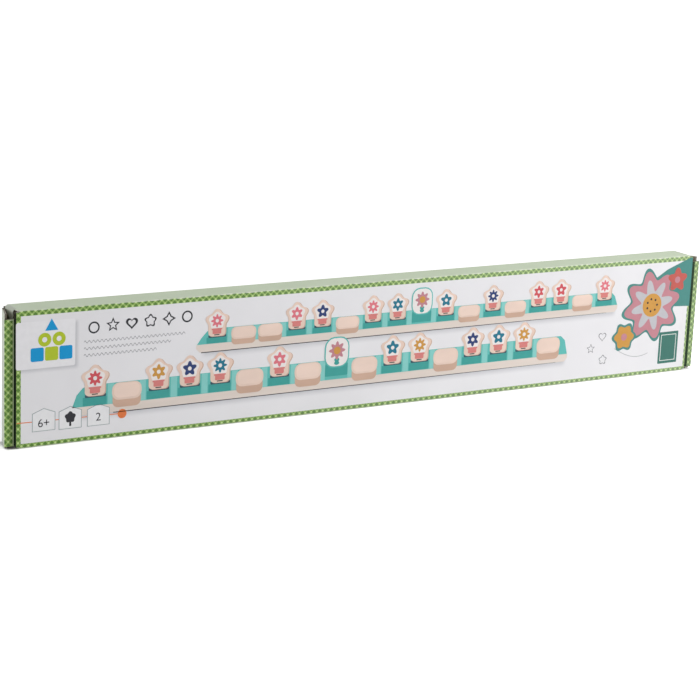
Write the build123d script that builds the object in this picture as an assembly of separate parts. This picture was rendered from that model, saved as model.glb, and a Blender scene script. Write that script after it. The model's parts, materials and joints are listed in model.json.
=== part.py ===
from build123d import *

import os
from math import cos, radians, sin, sqrt, tan

# A long slim tuck-end carton of thin corrugated board, standing on its long narrow side,
# with two flip-face boards, their target cards and a leaflet packed inside.
# Millimetres. +X runs along the carton, the front panel faces -Y, +Z is up.
# The origin is at the bottom, in the middle of the whole carton with its end flaps.

# Corrugated board
board = 1.5              # thickness of the board
corner_r = 1.3           # outside radius of a long crease
inner_corner_r = 0.4     # inside radius of a long crease
glue_flap_w = 15.0       # width of the glued seam flap
glue_flap_set = 6.0      # the seam flap stops this far short of the carton's ends
glue_flap_taper = 5.0    # how much the seam flap's ends slant
crease_gap = 0.25        # least gap between two panels on either side of a crease

# Boards with the flip faces
stations = 17            # places on a board: the middle one is for the target card
pitch = 35.0             # from one station to the next
base_end = 5.5           # base beyond the last station
base_depth = 44.0
base_thick = 8.0
base_corner_r = 4.0
pivot_in = 6.0           # hinge rod, in from the base's rear edge
rod_r = 1.25
rod_fit = 0.02           # rod in the bearing blocks' saw cuts, each side
rod_over = 0.4           # rod beyond the last block
block_w = 8.0            # width of a bearing block along the rod
block_height = 6.0       # bearing block off the base
block_deep = 7.0         # bearing block across the base
card_slot_w = 34.0
card_slot_gap = 1.4
card_slot_deep = 4.0
card_slot_in = 20.0      # card slot, in from the base's front edge

# Flip faces
face_thick = 5.5
face_lift = 0.3          # under a face that lies on the base
face_over = 5.0          # a lying face stands over the base's front edge by this
face_side_clear = 0.5    # between a foot and the bearing block beside it
face_bore_fit = 0.08     # rod in the foot's bore, on the radius
bore_sides = 16          # the foot's bore is cut as a polygon round the rod
face_swing_clear = 0.15  # foot's back edge over the base as the face swings up
foot_len = 7.0           # foot beyond the rod, up to the shoulders
shoulder = 3.0           # shoulders slope out over this length
face_to_face = 2.5       # between the heads of two faces
head_round = 12.0

most_round = 0.45        # the largest rounding, as a share of the side that it ends

# Target cards and leaflet
card_w = 33.0
card_len = 38.0
card_thick = 0.6
card_gap = 0.05
cards_a_stack = 8
card_from_rod = 1.5      # between the bearing blocks and the cards
leaflet_len = 210.0
leaflet_height = 90.0
leaflet_leaf = 0.3
leaflet_fold_gap = 0.3
leaflet_in = 60.0        # in from the left end of the boards

# Room inside the carton
wall_clear = 0.3         # contents to the board beside them
board_to_board = 0.3     # heads of the upper board over the base of the lower one
top_clear = 1.9
free_layer = 7.9         # in front of the faces, for the leaflet and for play
end_room = 17.0          # from the carton's end plane to the boards, for the tuck flaps

# End flaps
edge_relief = 1.5        # closure panel's long edges, in from the carton's top and bottom
closure_drop = 1.2       # the closure panels hang this far below the carton's middle
tuck_len = 15.0
tuck_relief_top = 1.6    # tuck flap's root, in from the closure panel's top edge
tuck_relief_low = 3.2    # tuck flap's root, in from the closure panel's bottom edge
tuck_straight = 9.0      # tuck flap beside its crease, before its sides slant in
tuck_slant = 35.0        # degrees, the tuck flap's side edges
tuck_tip_r = 4.0
tuck_clear = 0.35        # tuck flap behind the front panel when the end is shut
dust_len = 22.0
dust_front = 7.5         # dust flap's front edge, back from the front panel's face
dust_front_slant = 3.0   # degrees
dust_back_straight = 1.5
dust_back_slant = 45.0   # degrees
dust_slant_share = 0.6   # slanted part of the back edge, as a share of the flap's width
dust_tip_r = 3.0
dust_clear = 0.3         # dust flap under the shut closure panel, and beside the back panel

# Folds at rest, in degrees: 0 is flat with the panel that carries the flap
shut_fold = 90.0
open_fold = -80.0
closure_fold = {-1: 73.5, 1: 66.0}
tuck_lean = {-1: 6.0, 1: 2.0}      # tuck flap off the front panel's plane
dust_lean = 3.0                     # dust flap inwards of upright
tuck_ratio = 0.1                    # how far a tuck flap springs back as its closure opens
dust_ratio = 0.5                    # how far a dust flap springs out as the closure opens
face_play = 8.0                     # how far a face can swing in the shut carton

sides = {-1: "left", 1: "right"}

# Sizes that follow
boards_len = stations * pitch + 2 * base_end
length = boards_len + 2 * end_room
board_row = base_depth + face_over
height = 3 * board + wall_clear + 2 * board_row + board_to_board + top_clear
rod_lift = face_thick / 2 + face_lift
depth = 2 * board + wall_clear + base_thick + rod_lift + face_thick / 2 + free_layer
y_front = -depth / 2
y_back = depth / 2


def crease_reach(max_fold):
    """From a crease's axis to the centre of each panel's rounded end."""
    return (board + crease_gap) / (2 * cos(radians(max_fold) / 2))


def tuck_fold(side):
    """Fold of the tuck flap against its closure panel, at rest."""
    return 180 + tuck_lean[side] - closure_fold[side]


closure_reach = crease_reach(shut_fold)
tuck_most = max(tuck_fold(s) + tuck_ratio * (shut_fold - closure_fold[s]) for s in sides)
tuck_reach = crease_reach(tuck_most)
dust_most = shut_fold + dust_lean + dust_ratio * max(shut_fold - closure_fold[s] for s in sides)
dust_reach = crease_reach(dust_most)

closure_axis_out = closure_reach - board / 2
closure_axis_y = y_back - board / 2
closure_len = depth - board / 2 - (board + tuck_clear + board / 2)
closure_height = height - 2 * edge_relief
dust_axis_out = closure_axis_out - board - dust_clear
panel_set_back = -(dust_axis_out - (dust_reach - board / 2))


def stand_out(side):
    """How far the closure panel reaches beyond the carton's end plane."""
    run = closure_len - tuck_reach
    return closure_axis_out + run * cos(radians(closure_fold[side])) + board / 2


mid_x = (stand_out(-1) - stand_out(1)) / 2


def end_point(side, out, y, z):
    """A point given by how far it lies outside one end of the carton."""
    return Vector(mid_x + side * (length / 2 + out), y, z)


def flap_place(axis_point, run, hinge):
    """Places a flap whose own X runs away from its crease and whose own Y runs along it."""
    return Plane(origin=axis_point, x_dir=run, z_dir=run.cross(hinge)).location


def span_box(x0, x1, y0, y1, z0, z1):
    return Pos((x0 + x1) / 2, (y0 + y1) / 2, (z0 + z1) / 2) * Box(x1 - x0, y1 - y0, z1 - z0)


# Sleeve: four panels round the contents, with the seam flap glued inside the bottom panel
def panel_slab(plane, centre, run, across):
    """A panel with both ends rounded for its creases."""
    section = plane * Pos(*centre) * SlotOverall(run, board)
    return extrude(section, amount=across)


def seam_flap():
    x0 = mid_x - length / 2 + glue_flap_set
    x1 = mid_x + length / 2 - glue_flap_set
    y1 = y_back - board
    y0 = y1 - glue_flap_w
    outline = Polygon(
        (x0, y1), (x1, y1), (x1 - glue_flap_taper, y0), (x0 + glue_flap_taper, y0), align=None
    )
    return extrude(Plane.XY.offset(board) * outline, amount=board)


def sleeve():
    ring_len = length - 2 * (panel_set_back + board / 2)
    outer = Rectangle(depth, height)
    creased = outer.vertices().sort_by(lambda v: v.X - v.Y)[:-1]
    outer = fillet(creased, corner_r)
    inner = Rectangle(depth - 2 * board, height - 2 * board)
    inner = fillet(inner.vertices(), inner_corner_r)
    ring_start = Plane.YZ.offset(mid_x - ring_len / 2)
    body = extrude(ring_start * Pos(0, height / 2) * (outer - inner), amount=ring_len)
    x0 = mid_x - length / 2
    x1 = mid_x + length / 2
    body += span_box(x0, x1, y_front, y_front + board, corner_r, height - corner_r)
    low = Plane.XY.offset(board + corner_r)
    body += panel_slab(low, (mid_x, y_back - board / 2), length, height - board - 2 * corner_r)
    flat_run = length - 2 * panel_set_back
    top_start = Plane.XZ.offset(-(y_front + corner_r))
    top_across = -(depth - 2 * corner_r)
    body += panel_slab(top_start, (mid_x, height - board / 2), flat_run, top_across)
    body += panel_slab(top_start, (mid_x, board / 2), flat_run, -(depth - corner_r))
    body += seam_flap()
    # The back panel turns into the seam flap over the bottom panel's raw edge
    turn = Plane.YZ.offset(x0) * Pos(y_back - corner_r / 2, board + corner_r / 2)
    notch = turn * Rectangle(corner_r, corner_r)
    round_part = Plane.YZ.offset(x0) * Pos(y_back - corner_r, board + corner_r) * Circle(corner_r)
    body -= extrude(notch - round_part, amount=length)
    return body


# End flaps, each made flat: X away from the crease, Y along it, Z through the board
def flat_flap(outline, reach, run):
    slot_len = run - reach + board
    section = Plane.XZ * Pos(reach - board / 2 + slot_len / 2, 0) * SlotOverall(slot_len, board)
    bar = extrude(section, amount=height, both=True)
    return bar & extrude(outline, amount=board, both=True)


def closure_panel():
    start = closure_reach - board / 2
    end = closure_len - tuck_reach + board / 2
    section = Plane.XZ * Pos((start + end) / 2, 0) * SlotOverall(end - start, board)
    return extrude(section, amount=closure_height / 2, both=True)


def tuck_flap():
    top = closure_height / 2 - tuck_relief_top
    low = tuck_relief_low - closure_height / 2
    slant = (tuck_len - tuck_straight) * tan(radians(tuck_slant))
    outline = Polygon(
        (0, low), (tuck_straight, low), (tuck_len, low + slant),
        (tuck_len, top - slant), (tuck_straight, top), (0, top), align=None,
    )
    tips = outline.vertices().group_by(Axis.X)[-1]
    outline = fillet(tips, tuck_tip_r)
    return flat_flap(outline, tuck_reach, tuck_len + board)


def dust_flap():
    front = y_front + dust_front
    back = y_back - board - dust_clear
    front_tip = front + dust_len * tan(radians(dust_front_slant))
    slant_run = min(dust_len - dust_back_straight, (back - front_tip) * dust_slant_share)
    back_tip = back - slant_run * tan(radians(dust_back_slant))
    outline = Polygon(
        (0, front), (dust_len, front_tip), (dust_len, back_tip),
        (dust_back_straight + slant_run, back_tip), (dust_back_straight, back), (0, back), align=None,
    )
    tips = outline.vertices().group_by(Axis.X)[-1]
    outline = fillet(tips, min(dust_tip_r, most_round * (back_tip - front_tip)))
    return flat_flap(outline, dust_reach, dust_len + board)


def closure_run(side):
    fold = radians(closure_fold[side])
    return Vector(side * cos(fold), -sin(fold), 0)


def closure_axis(side):
    return end_point(side, closure_axis_out, closure_axis_y, height / 2 - closure_drop)


def tuck_axis(side):
    return closure_axis(side) + closure_run(side) * closure_len


def tuck_run(side):
    lean = radians(tuck_lean[side])
    return Vector(-side * cos(lean), sin(lean), 0)


def dust_axis(side, top):
    z = height - board / 2 if top else board / 2
    return end_point(side, dust_axis_out, 0, z)


def dust_run(side, top):
    lean = radians(dust_lean)
    return Vector(-side * sin(lean), 0, -cos(lean) if top else cos(lean))


# Flip-face boards, lying against the back panel with their heads hanging down
row_low = 2 * board + wall_clear
rear_edges = {
    "lower": row_low + board_row,
    "upper": row_low + board_row + board_to_board + board_row,
}
base_back_y = y_back - board - wall_clear
base_face_y = base_back_y - base_thick
rod_y = base_face_y - rod_lift
boards_x0 = mid_x - boards_len / 2
middle = stations // 2


def station_x(index):
    return boards_x0 + base_end + (index + 0.5) * pitch


def base_board(rear_z):
    plan = Plane.XZ.offset(-base_back_y) * Pos(mid_x, rear_z - base_depth / 2)
    base = extrude(plan * RectangleRounded(boards_len, base_depth, base_corner_r), amount=base_thick)
    slot_z = rear_z - base_depth + card_slot_in
    return base - span_box(
        station_x(middle) - card_slot_w / 2, station_x(middle) + card_slot_w / 2,
        base_face_y, base_face_y + card_slot_deep,
        slot_z - card_slot_gap / 2, slot_z + card_slot_gap / 2,
    )


def hinge_rod(rear_z):
    run = stations * pitch + block_w + 2 * rod_over
    return Pos(mid_x, rod_y, rear_z - pivot_in) * Rot(0, 90, 0) * Cylinder(rod_r, run)


def bearing_block():
    """One glued block with the rod in its saw cut, made with the rod's axis at the origin."""
    cut = rod_r + rod_fit
    face_y = rod_lift - block_height
    block = Pos(0, rod_lift - block_height / 2) * Box(block_w, block_height, block_deep)
    return block - span_box(-block_w, block_w, face_y, cut, -cut, cut)


def bearing_blocks(rear_z):
    block = bearing_block()
    places = [boards_x0 + base_end + k * pitch for k in range(stations + 1)]
    return Compound([Pos(x, rod_y, rear_z - pivot_in) * block for x in places])


def flip_face():
    """One face with the rod's axis at the origin: the head hangs down, its back is to the base."""
    half = face_thick / 2
    crown = base_depth - pivot_in + face_over
    foot = (pitch - block_w) / 2 - face_side_clear
    head = (pitch - face_to_face) / 2
    right = [(foot, half), (foot, -foot_len), (head, -foot_len - shoulder), (head, -crown)]
    outline = Polygon(*right, *[(-x, z) for x, z in reversed(right)], align=None)
    crown_corners = outline.vertices().group_by(Axis.Y)[0]
    outline = fillet(crown_corners, min(head_round, most_round * 2 * head))
    face = extrude(Plane.XZ * outline, amount=half, both=True)
    # The foot's back edge is cut off, so that it clears the base as the face swings up
    # The foot's front edge stays square: it meets the base and holds the face upright
    kept = sqrt((rod_lift - face_swing_clear) ** 2 - half ** 2)
    turning = face.edges().filter_by(Axis.X).sort_by(lambda e: e.center().Y + e.center().Z)[-1]
    face = chamfer(turning, half - kept)
    bore = RegularPolygon(rod_r + face_bore_fit, bore_sides, major_radius=False)
    return face - extrude(Plane.YZ * bore, amount=2 * foot, both=True)


def card_stacks():
    top = pivot_in + block_deep / 2 + card_from_rod
    cards = []
    for rear_z in rear_edges.values():
        z1 = rear_z - top
        for k in range(cards_a_stack):
            y1 = base_face_y - wall_clear - k * (card_thick + card_gap)
            x0 = station_x(middle) - card_w / 2
            cards.append(span_box(x0, x0 + card_w, y1 - card_thick, y1, z1 - card_len, z1))
    return Compound(cards)


def leaflet():
    """A sheet folded once, standing against the front panel."""
    thick = 2 * leaflet_leaf + leaflet_fold_gap
    y0 = y_front + board + wall_clear
    x0 = boards_x0 + leaflet_in
    outer = SlotOverall(leaflet_len, thick)
    inner = SlotOverall(leaflet_len - 2 * leaflet_leaf, leaflet_fold_gap)
    folded = outer - inner - Pos(leaflet_len / 2, 0) * Rectangle(2 * thick, thick)
    start = Plane.XY.offset(board + wall_clear)
    place = Pos(x0 + leaflet_len / 2, y0 + thick / 2)
    return extrude(start * place * folded, amount=leaflet_height)


# Every piece in its place, by name
parts = {"carton_sleeve": sleeve()}
hinges = {}

for side, name in sides.items():
    up = Vector(0, 0, 1)
    parts[f"{name}_closure_panel"] = flap_place(closure_axis(side), closure_run(side), up) * closure_panel()
    parts[f"{name}_tuck_flap"] = flap_place(tuck_axis(side), tuck_run(side), up) * tuck_flap()
    swing = (closure_fold[side] - shut_fold, closure_fold[side] - open_fold)
    hinges[f"{name}_closure_hinge"] = (closure_axis(side), up * side, swing, None)
    tuck_swing = tuple(tuck_ratio * a for a in swing)
    hinges[f"{name}_tuck_crease"] = (tuck_axis(side), up * side, tuck_swing, tuck_ratio)
    for top, level in ((True, "top"), (False, "bottom")):
        across = Vector(0, 1, 0)
        place = flap_place(dust_axis(side, top), dust_run(side, top), across)
        parts[f"{name}_{level}_dust_flap"] = place * dust_flap()
        turn = across * (-side if top else side)
        dust_swing = tuple(dust_ratio * a for a in swing)
        hinges[f"{name}_{level}_dust_crease"] = (dust_axis(side, top), turn, dust_swing, dust_ratio)

face = flip_face()
for row, rear_z in rear_edges.items():
    parts[f"{row}_base"] = base_board(rear_z)
    parts[f"{row}_hinge_rod"] = hinge_rod(rear_z)
    parts[f"{row}_bearing_blocks"] = bearing_blocks(rear_z)
    numbered = [i for i in range(stations) if i != middle]
    for number, i in enumerate(numbered, start=1):
        at = Vector(station_x(i), rod_y, rear_z - pivot_in)
        parts[f"{row}_face_{number:02d}"] = Pos(*at) * face
        hinges[f"{row}_face_hinge_{number:02d}"] = (at, Vector(-1, 0, 0), (0, face_play), None)

parts["target_cards"] = card_stacks()
parts["rules_leaflet"] = leaflet()

os.makedirs("parts", exist_ok=True)
for node, solid in parts.items():
    export_step(solid, f"parts/{node}.step")

print(f"carton {length:.1f} x {depth:.1f} x {height:.1f} mm, closure panel {closure_len:.2f} mm")
for joint, (point, axis, swing, ratio) in hinges.items():
    if "face" not in joint:
        print(joint, [round(c, 3) for c in point], [round(c) for c in axis], swing, ratio)
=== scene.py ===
"""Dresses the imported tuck-end carton with its print, board edges, creases and contents."""

import json
from math import cos, pi, radians, sin, tan, tau

import bmesh
import bpy
from bpy.props import FloatProperty, FloatVectorProperty, IntProperty, PointerProperty
from bpy.types import Operator, Panel, PropertyGroup
from mathutils import Matrix, Vector


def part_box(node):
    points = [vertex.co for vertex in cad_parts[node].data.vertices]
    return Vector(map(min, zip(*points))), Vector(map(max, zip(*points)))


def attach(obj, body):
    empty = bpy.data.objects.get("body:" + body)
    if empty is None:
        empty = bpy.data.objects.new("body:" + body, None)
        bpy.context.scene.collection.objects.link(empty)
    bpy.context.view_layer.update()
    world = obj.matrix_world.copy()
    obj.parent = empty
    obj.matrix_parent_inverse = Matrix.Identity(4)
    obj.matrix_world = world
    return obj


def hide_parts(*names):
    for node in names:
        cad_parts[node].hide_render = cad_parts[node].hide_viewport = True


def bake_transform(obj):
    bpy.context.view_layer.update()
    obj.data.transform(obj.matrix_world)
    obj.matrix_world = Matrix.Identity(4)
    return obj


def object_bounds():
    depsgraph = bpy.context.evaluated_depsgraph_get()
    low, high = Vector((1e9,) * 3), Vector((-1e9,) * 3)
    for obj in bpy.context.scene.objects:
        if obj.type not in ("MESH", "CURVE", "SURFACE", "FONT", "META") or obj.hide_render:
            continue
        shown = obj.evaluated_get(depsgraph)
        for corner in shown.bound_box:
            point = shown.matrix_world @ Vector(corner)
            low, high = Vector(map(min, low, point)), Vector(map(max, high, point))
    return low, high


bl_info = {
    "name": "Flip-face game carton",
    "version": (1, 0, 0),
    "blender": (4, 5, 0),
    "location": "View3D > Sidebar > Carton",
    "description": "Finishes a tuck-end game carton and the flip-face boards inside it",
    "category": "Object",
}

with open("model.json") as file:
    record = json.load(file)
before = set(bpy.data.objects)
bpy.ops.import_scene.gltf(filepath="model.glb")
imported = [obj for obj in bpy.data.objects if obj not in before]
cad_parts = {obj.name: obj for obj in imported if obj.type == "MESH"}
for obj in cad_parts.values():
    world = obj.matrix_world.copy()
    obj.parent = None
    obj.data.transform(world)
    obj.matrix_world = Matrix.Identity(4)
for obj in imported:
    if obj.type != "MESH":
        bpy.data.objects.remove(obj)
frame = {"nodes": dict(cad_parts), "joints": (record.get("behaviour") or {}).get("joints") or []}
cad_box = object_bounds()

MM = 0.001
ENDS = {"left": -1, "right": 1}
LEVELS = {"top": 1, "bottom": -1}
joints = {joint["name"]: joint for joint in frame["joints"]}
sleeve_low, sleeve_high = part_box("carton_sleeve")


def ink(red, green, blue):
    """A printed colour, written from 0 to 255 as it is mixed on screen, as linear values."""
    shares = (c / 255 for c in (red, green, blue))
    return tuple(((c + 0.055) / 1.055) ** 2.4 if c > 0.04 else c / 12.92 for c in shares)


def length_of(name, description, millimetres):
    return FloatProperty(
        name=name, description=description, default=millimetres * MM, unit="LENGTH", precision=5
    )


def angle_of(name, description, degrees):
    return FloatProperty(name=name, description=description, default=radians(degrees), subtype="ANGLE")


def number_of(name, description, default):
    return FloatProperty(name=name, description=description, default=default)


def pair_of(name, description, left, right):
    """One value for each end of the carton."""
    return FloatVectorProperty(
        name=name, description=description, default=(left, right), size=2, subtype="NONE", precision=5
    )


def colour_of(name, description, *rgb):
    return FloatVectorProperty(
        name=name, description=description, default=ink(*rgb), subtype="COLOR", size=3, min=0, max=1
    )


class CartonBoard(PropertyGroup):
    """The corrugated board and its folds."""

    thick: length_of("Board", "Thickness of the corrugated board", 1.5)
    liner: length_of("Liner", "Thickness of the paper on each side of the flutes", 0.22)
    flute_pitch: length_of("Flute pitch", "From one flute to the next", 3.0)
    flute_paper: length_of("Flute paper", "Thickness of the fluted paper", 0.2)
    flute_stand: length_of("Flute stand", "Fluted paper over a cut edge", 0.04)
    flute_inset: length_of("Flute inset", "From the long creases to the flutes of the front's ends", 2.0)
    flute_gap: length_of("Flute gap", "From a folded crease to the flutes of a closure panel", 0.5)
    skin: length_of("Crease skin", "How far the liner stands off the board where it runs over a crease", 0.05)
    skin_tail: length_of("Skin tail", "Liner beyond a crease on each side", 1.0)
    skin_foot: length_of("Crease foot", "Lower edge of the liner over the closure creases", 0.4)
    bulge: pair_of("Bulges", "How far the liner bulges over the left and right tuck creases", 0.0, 0.7 * MM)
    tuck_low: length_of("Tuck's lower edge", "Lower edge of the tuck flaps over the ground", 1.7)
    tuck_high: length_of("Tuck's upper edge", "Upper edge of the tuck flaps over the ground", 98.2)
    tuck_straight: length_of("Tuck's straight side", "Side of a tuck flap before it slants in", 9.0)
    tuck_tip: length_of("Tuck's tip", "Rounding of a tuck flap's tips", 4.0)
    tuck_slant: angle_of("Tuck's slant", "Slant of a tuck flap's sides", 35)
    tuck_lean: pair_of(
        "Tuck leans", "Lean of the left and right tuck flaps off the front panel", radians(6), radians(2)
    )
    dust_lean: angle_of("Dust flap lean", "Lean of a dust flap off the upright", 3)
    raw_end: length_of("Raw end", "Depth of the bare cut at the sleeve's ends", 0.35)
    inked_rim: length_of("Inked rim", "How deep the print reaches into a flap's cut edge", 0.03)
    rubbed: length_of("Rubbed crease", "How far from both its panels a crease is rubbed", 0.10)
    kraft: colour_of("Kraft", "Inner liner and flutes", 182, 174, 156)
    raw_edge: colour_of("Raw edge", "Cut edge of the printed liner", 176, 178, 160)
    # Painted shade: the sleeve's cut ends are coloured near black to stand for the shadow on them
    end_edge_shade: colour_of("End edge", "Cut edge of the sleeve at the carton's ends", 8, 20, 4)


class CartonPrint(PropertyGroup):
    """The ground that is printed on the board."""

    border_top: length_of("Top border", "Check border under the top crease", 4.3)
    border_bottom: length_of("Bottom border", "Check border over the bottom crease", 3.6)
    border_left: length_of("Left border", "Check border at the left end", 3.9)
    border_right: length_of("Right border", "Check border at the right end", 2.4)
    check_rows: number_of("Check rows", "Rows of checks between the middles of the long borders", 37.5)
    check_share: number_of("Check share", "Share of the pitch that a stripe takes", 0.63)
    check_fade: number_of("Check fade", "How far the check pales at the right end", 0.14)
    check_start: length_of("Check start", "First column of dark checks, in from an end or a crease", 1.8)
    check_dark: colour_of("Dark check", "Where two stripes cross", 88, 128, 52)
    check_mid: colour_of("Middle check", "Where one stripe lies alone", 144, 177, 94)
    check_light: colour_of("Light check", "Where no stripe lies", 194, 220, 146)
    # Painted shade: a dark green band on each tuck flap stands for the shadow of the front panel's end across
    # it
    shade_band_stop: pair_of(
        "Band stops", "From the carton's end out to where a tuck flap's dark band stops, left and right",
        -1.2 * MM, 1.6 * MM,
    )
    shade_band_width: pair_of("Band widths", "Width of the left and right dark bands", 1.45 * MM, 4.5 * MM)
    shade_band_soft: length_of("Band softness", "Softness of the dark band's edges", 0.2)
    shade_band_green: colour_of("Dark band", "Band across a tuck flap where it passes the front panel", 10, 44, 10)
    line_width: length_of("Pale line", "Pale line beside the dark band and at a tuck flap's upper edge", 0.9)
    line_share: pair_of("Pale line strength", "How clearly the left and right pale lines show", 0.95, 0.0)
    line_green: colour_of("Pale line green", "Pale line beside the dark band", 206, 222, 178)
    flap_green: colour_of("Flap green", "Outer side of the closure panels and dust flaps", 198, 205, 190)
    paper: colour_of("Ground", "Ground of the front and back panels", 233, 232, 235)
    shade: colour_of("Printed shade", "Soft shadows printed under the label and the rails", 116, 118, 130)
    shade_share: number_of("Shade strength", "How strongly the printed shadows show", 0.36)
    top_green: colour_of("Pale green", "Top and bottom panels", 202, 215, 189)
    worn: colour_of("Worn paper", "Paper that shows where a crease is rubbed", 222, 224, 212)
    layer: length_of("Ink layer", "Height of one printed layer over the next", 0.04)


class CartonPicture(PropertyGroup):
    """The inks of the printed pictures."""

    rail_wood: colour_of("Rail wood", "Front edge of a printed rail", 224, 212, 203)
    rail_teal: colour_of("Rail teal", "Top of a printed rail", 96, 186, 180)
    rail_slot: colour_of("Rail place", "Lighter place between two tokens", 134, 204, 198)
    rail_cell: colour_of("Rail cell", "Shaded teal in front of a standing token", 62, 158, 152)
    token: colour_of("Token", "Face of a wooden token", 232, 206, 191)
    token_top: colour_of("Token top", "Raised middle of a lying token", 238, 213, 199)
    token_side: colour_of("Token side", "Side of a wooden token", 204, 170, 150)
    token_foot: colour_of("Token foot", "Shadow at a standing token's foot", 52, 84, 96)
    token_pale: colour_of("Token field", "Pale field on a standing token", 238, 232, 230)
    pot: colour_of("Pot", "Flower pot on a standing token", 214, 128, 124)
    motif_red: colour_of("Motif red", "Some of the flowers on the tokens", 206, 84, 92)
    motif_navy: colour_of("Motif navy", "Some of the flowers on the tokens", 44, 62, 112)
    motif_blue: colour_of("Motif blue", "Some of the flowers on the tokens", 34, 116, 140)
    motif_pink: colour_of("Motif pink", "Some of the flowers on the tokens", 222, 120, 132)
    label: colour_of("Label", "Ground of the label", 236, 235, 238)
    block_blue: colour_of("Block blue", "Blue blocks on the label", 0, 150, 210)
    block_lime: colour_of("Block lime", "Lime blocks on the label", 178, 196, 44)
    tag: colour_of("Tag", "Ground of the tags", 236, 236, 238)
    tag_line: colour_of("Tag line", "Outline of the tags", 158, 168, 170)
    orange: colour_of("Orange", "Dot and thin line", 226, 122, 66)
    line_ink: colour_of("Line ink", "Dark line drawings", 40, 40, 46)
    grey_ink: colour_of("Grey ink", "Wavy lines and thin outlines", 112, 112, 118)
    curve_ink: colour_of("Curve ink", "Thin curve under the flowers", 170, 172, 176)
    corner_teal: colour_of("Corner teal", "Wedge in the upper right corner", 74, 136, 130)
    petal: colour_of("Petal", "Petals of the large flower", 192, 132, 142)
    petal_pale: colour_of("Pale petal", "Pale petals of the large flower", 190, 189, 194)
    mustard: colour_of("Mustard", "Hearts of the flowers", 204, 150, 72)
    red: colour_of("Red", "Small red flower", 190, 92, 84)
    plaque: colour_of("Plaque", "Dark green rectangle", 62, 114, 104)
    plaque_line: colour_of("Plaque line", "Ruled line on the green rectangle", 226, 232, 228)
    token_seed: IntProperty(name="Motif seed", description="Picks the motif on each token", default=7)


class CartonContents(PropertyGroup):
    """The wood, steel and paper inside the carton."""

    wood: colour_of("Wood", "Bases of the boards", 224, 196, 158)
    block_wood: colour_of("Block wood", "Bearing blocks", 206, 170, 122)
    steel: colour_of("Steel", "Hinge rods", 188, 190, 192)
    card: colour_of("Card", "Target cards", 240, 238, 230)
    leaflet: colour_of("Leaflet", "Rules leaflet", 243, 242, 236)
    paint_depth: length_of("Paint depth", "How deep the paint reaches into a base", 0.02)
    motif_drop: length_of("Motif drop", "Middle of a flip face's motif under that of the face", 4.0)
    motif_size: length_of("Motif size", "Radius of a motif midway between a petal's tip and a dent", 8.0)
    motif_swell: length_of("Motif swell", "How far a petal's tip lies out from that radius", 1.8)
    motif_heart: length_of("Motif heart", "Radius of a motif's heart", 3.0)
    motif_depth: length_of("Motif depth", "How deep the print reaches into a flip face", 0.4)
    card_margin: length_of("Card margin", "From a card's side to its ruled line", 2.0)
    card_line: length_of("Card line", "Width of a card's ruled line", 1.0)
    column: length_of("Column", "From one printed column of the leaflet to the next", 70.0)
    column_share: number_of("Column share", "Share of that distance that is printed", 0.86)
    leaflet_margin: length_of("Leaflet margin", "Bare paper over and under the columns", 6.0)


class CartonStage(PropertyGroup):
    """Camera, light and floor."""

    lens: number_of("Lens", "Focal length in millimetres", 104.32)
    camera_place: FloatVectorProperty(
        name="Camera place", description="Where the camera stands",
        default=(-0.86524, -1.36928, 0.43522), subtype="TRANSLATION", unit="LENGTH", precision=5,
    )
    camera_right: FloatVectorProperty(
        name="Camera right", description="Camera's right-hand direction",
        default=(0.85724, -0.51334, 0.0404), precision=5,
    )
    camera_ahead: FloatVectorProperty(
        name="Camera ahead", description="Camera's viewing direction",
        default=(0.50747, 0.82892, -0.2353), precision=5,
    )
    key_power: number_of("Key light", "Power of the key light in watts", 15.5)
    fill_power: number_of("Fill light", "Power of the fill light in watts", 6.0)
    world_light: number_of("World light", "Strength of the even light all round", 0.4)
    floor: colour_of("Floor", "Floor and backdrop", 250, 250, 250)
    floor_half: length_of("Floor's half side", "From the floor's middle to its edges", 30000)
    floor_drop: length_of("Floor drop", "Floor under the carton", 0.2)
    floor_glow: number_of("Floor glow", "White that the floor shows over its shading", 0.5)
    floor_shade: length_of("Floor shade", "How far from the carton the floor's own shading shows", 1.5)
    under_shade: length_of("Shade under", "How far under the carton's edge that shading is whole", 3.0)
    far_glow: number_of("Far glow", "How many times more of that white far from the carton", 1.4)
    far_start: length_of("Far start", "Where the white starts to rise, out from the carton", 300)
    far_stop: length_of("Far stop", "Where the white is at its most, out from the carton", 3000)


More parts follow.
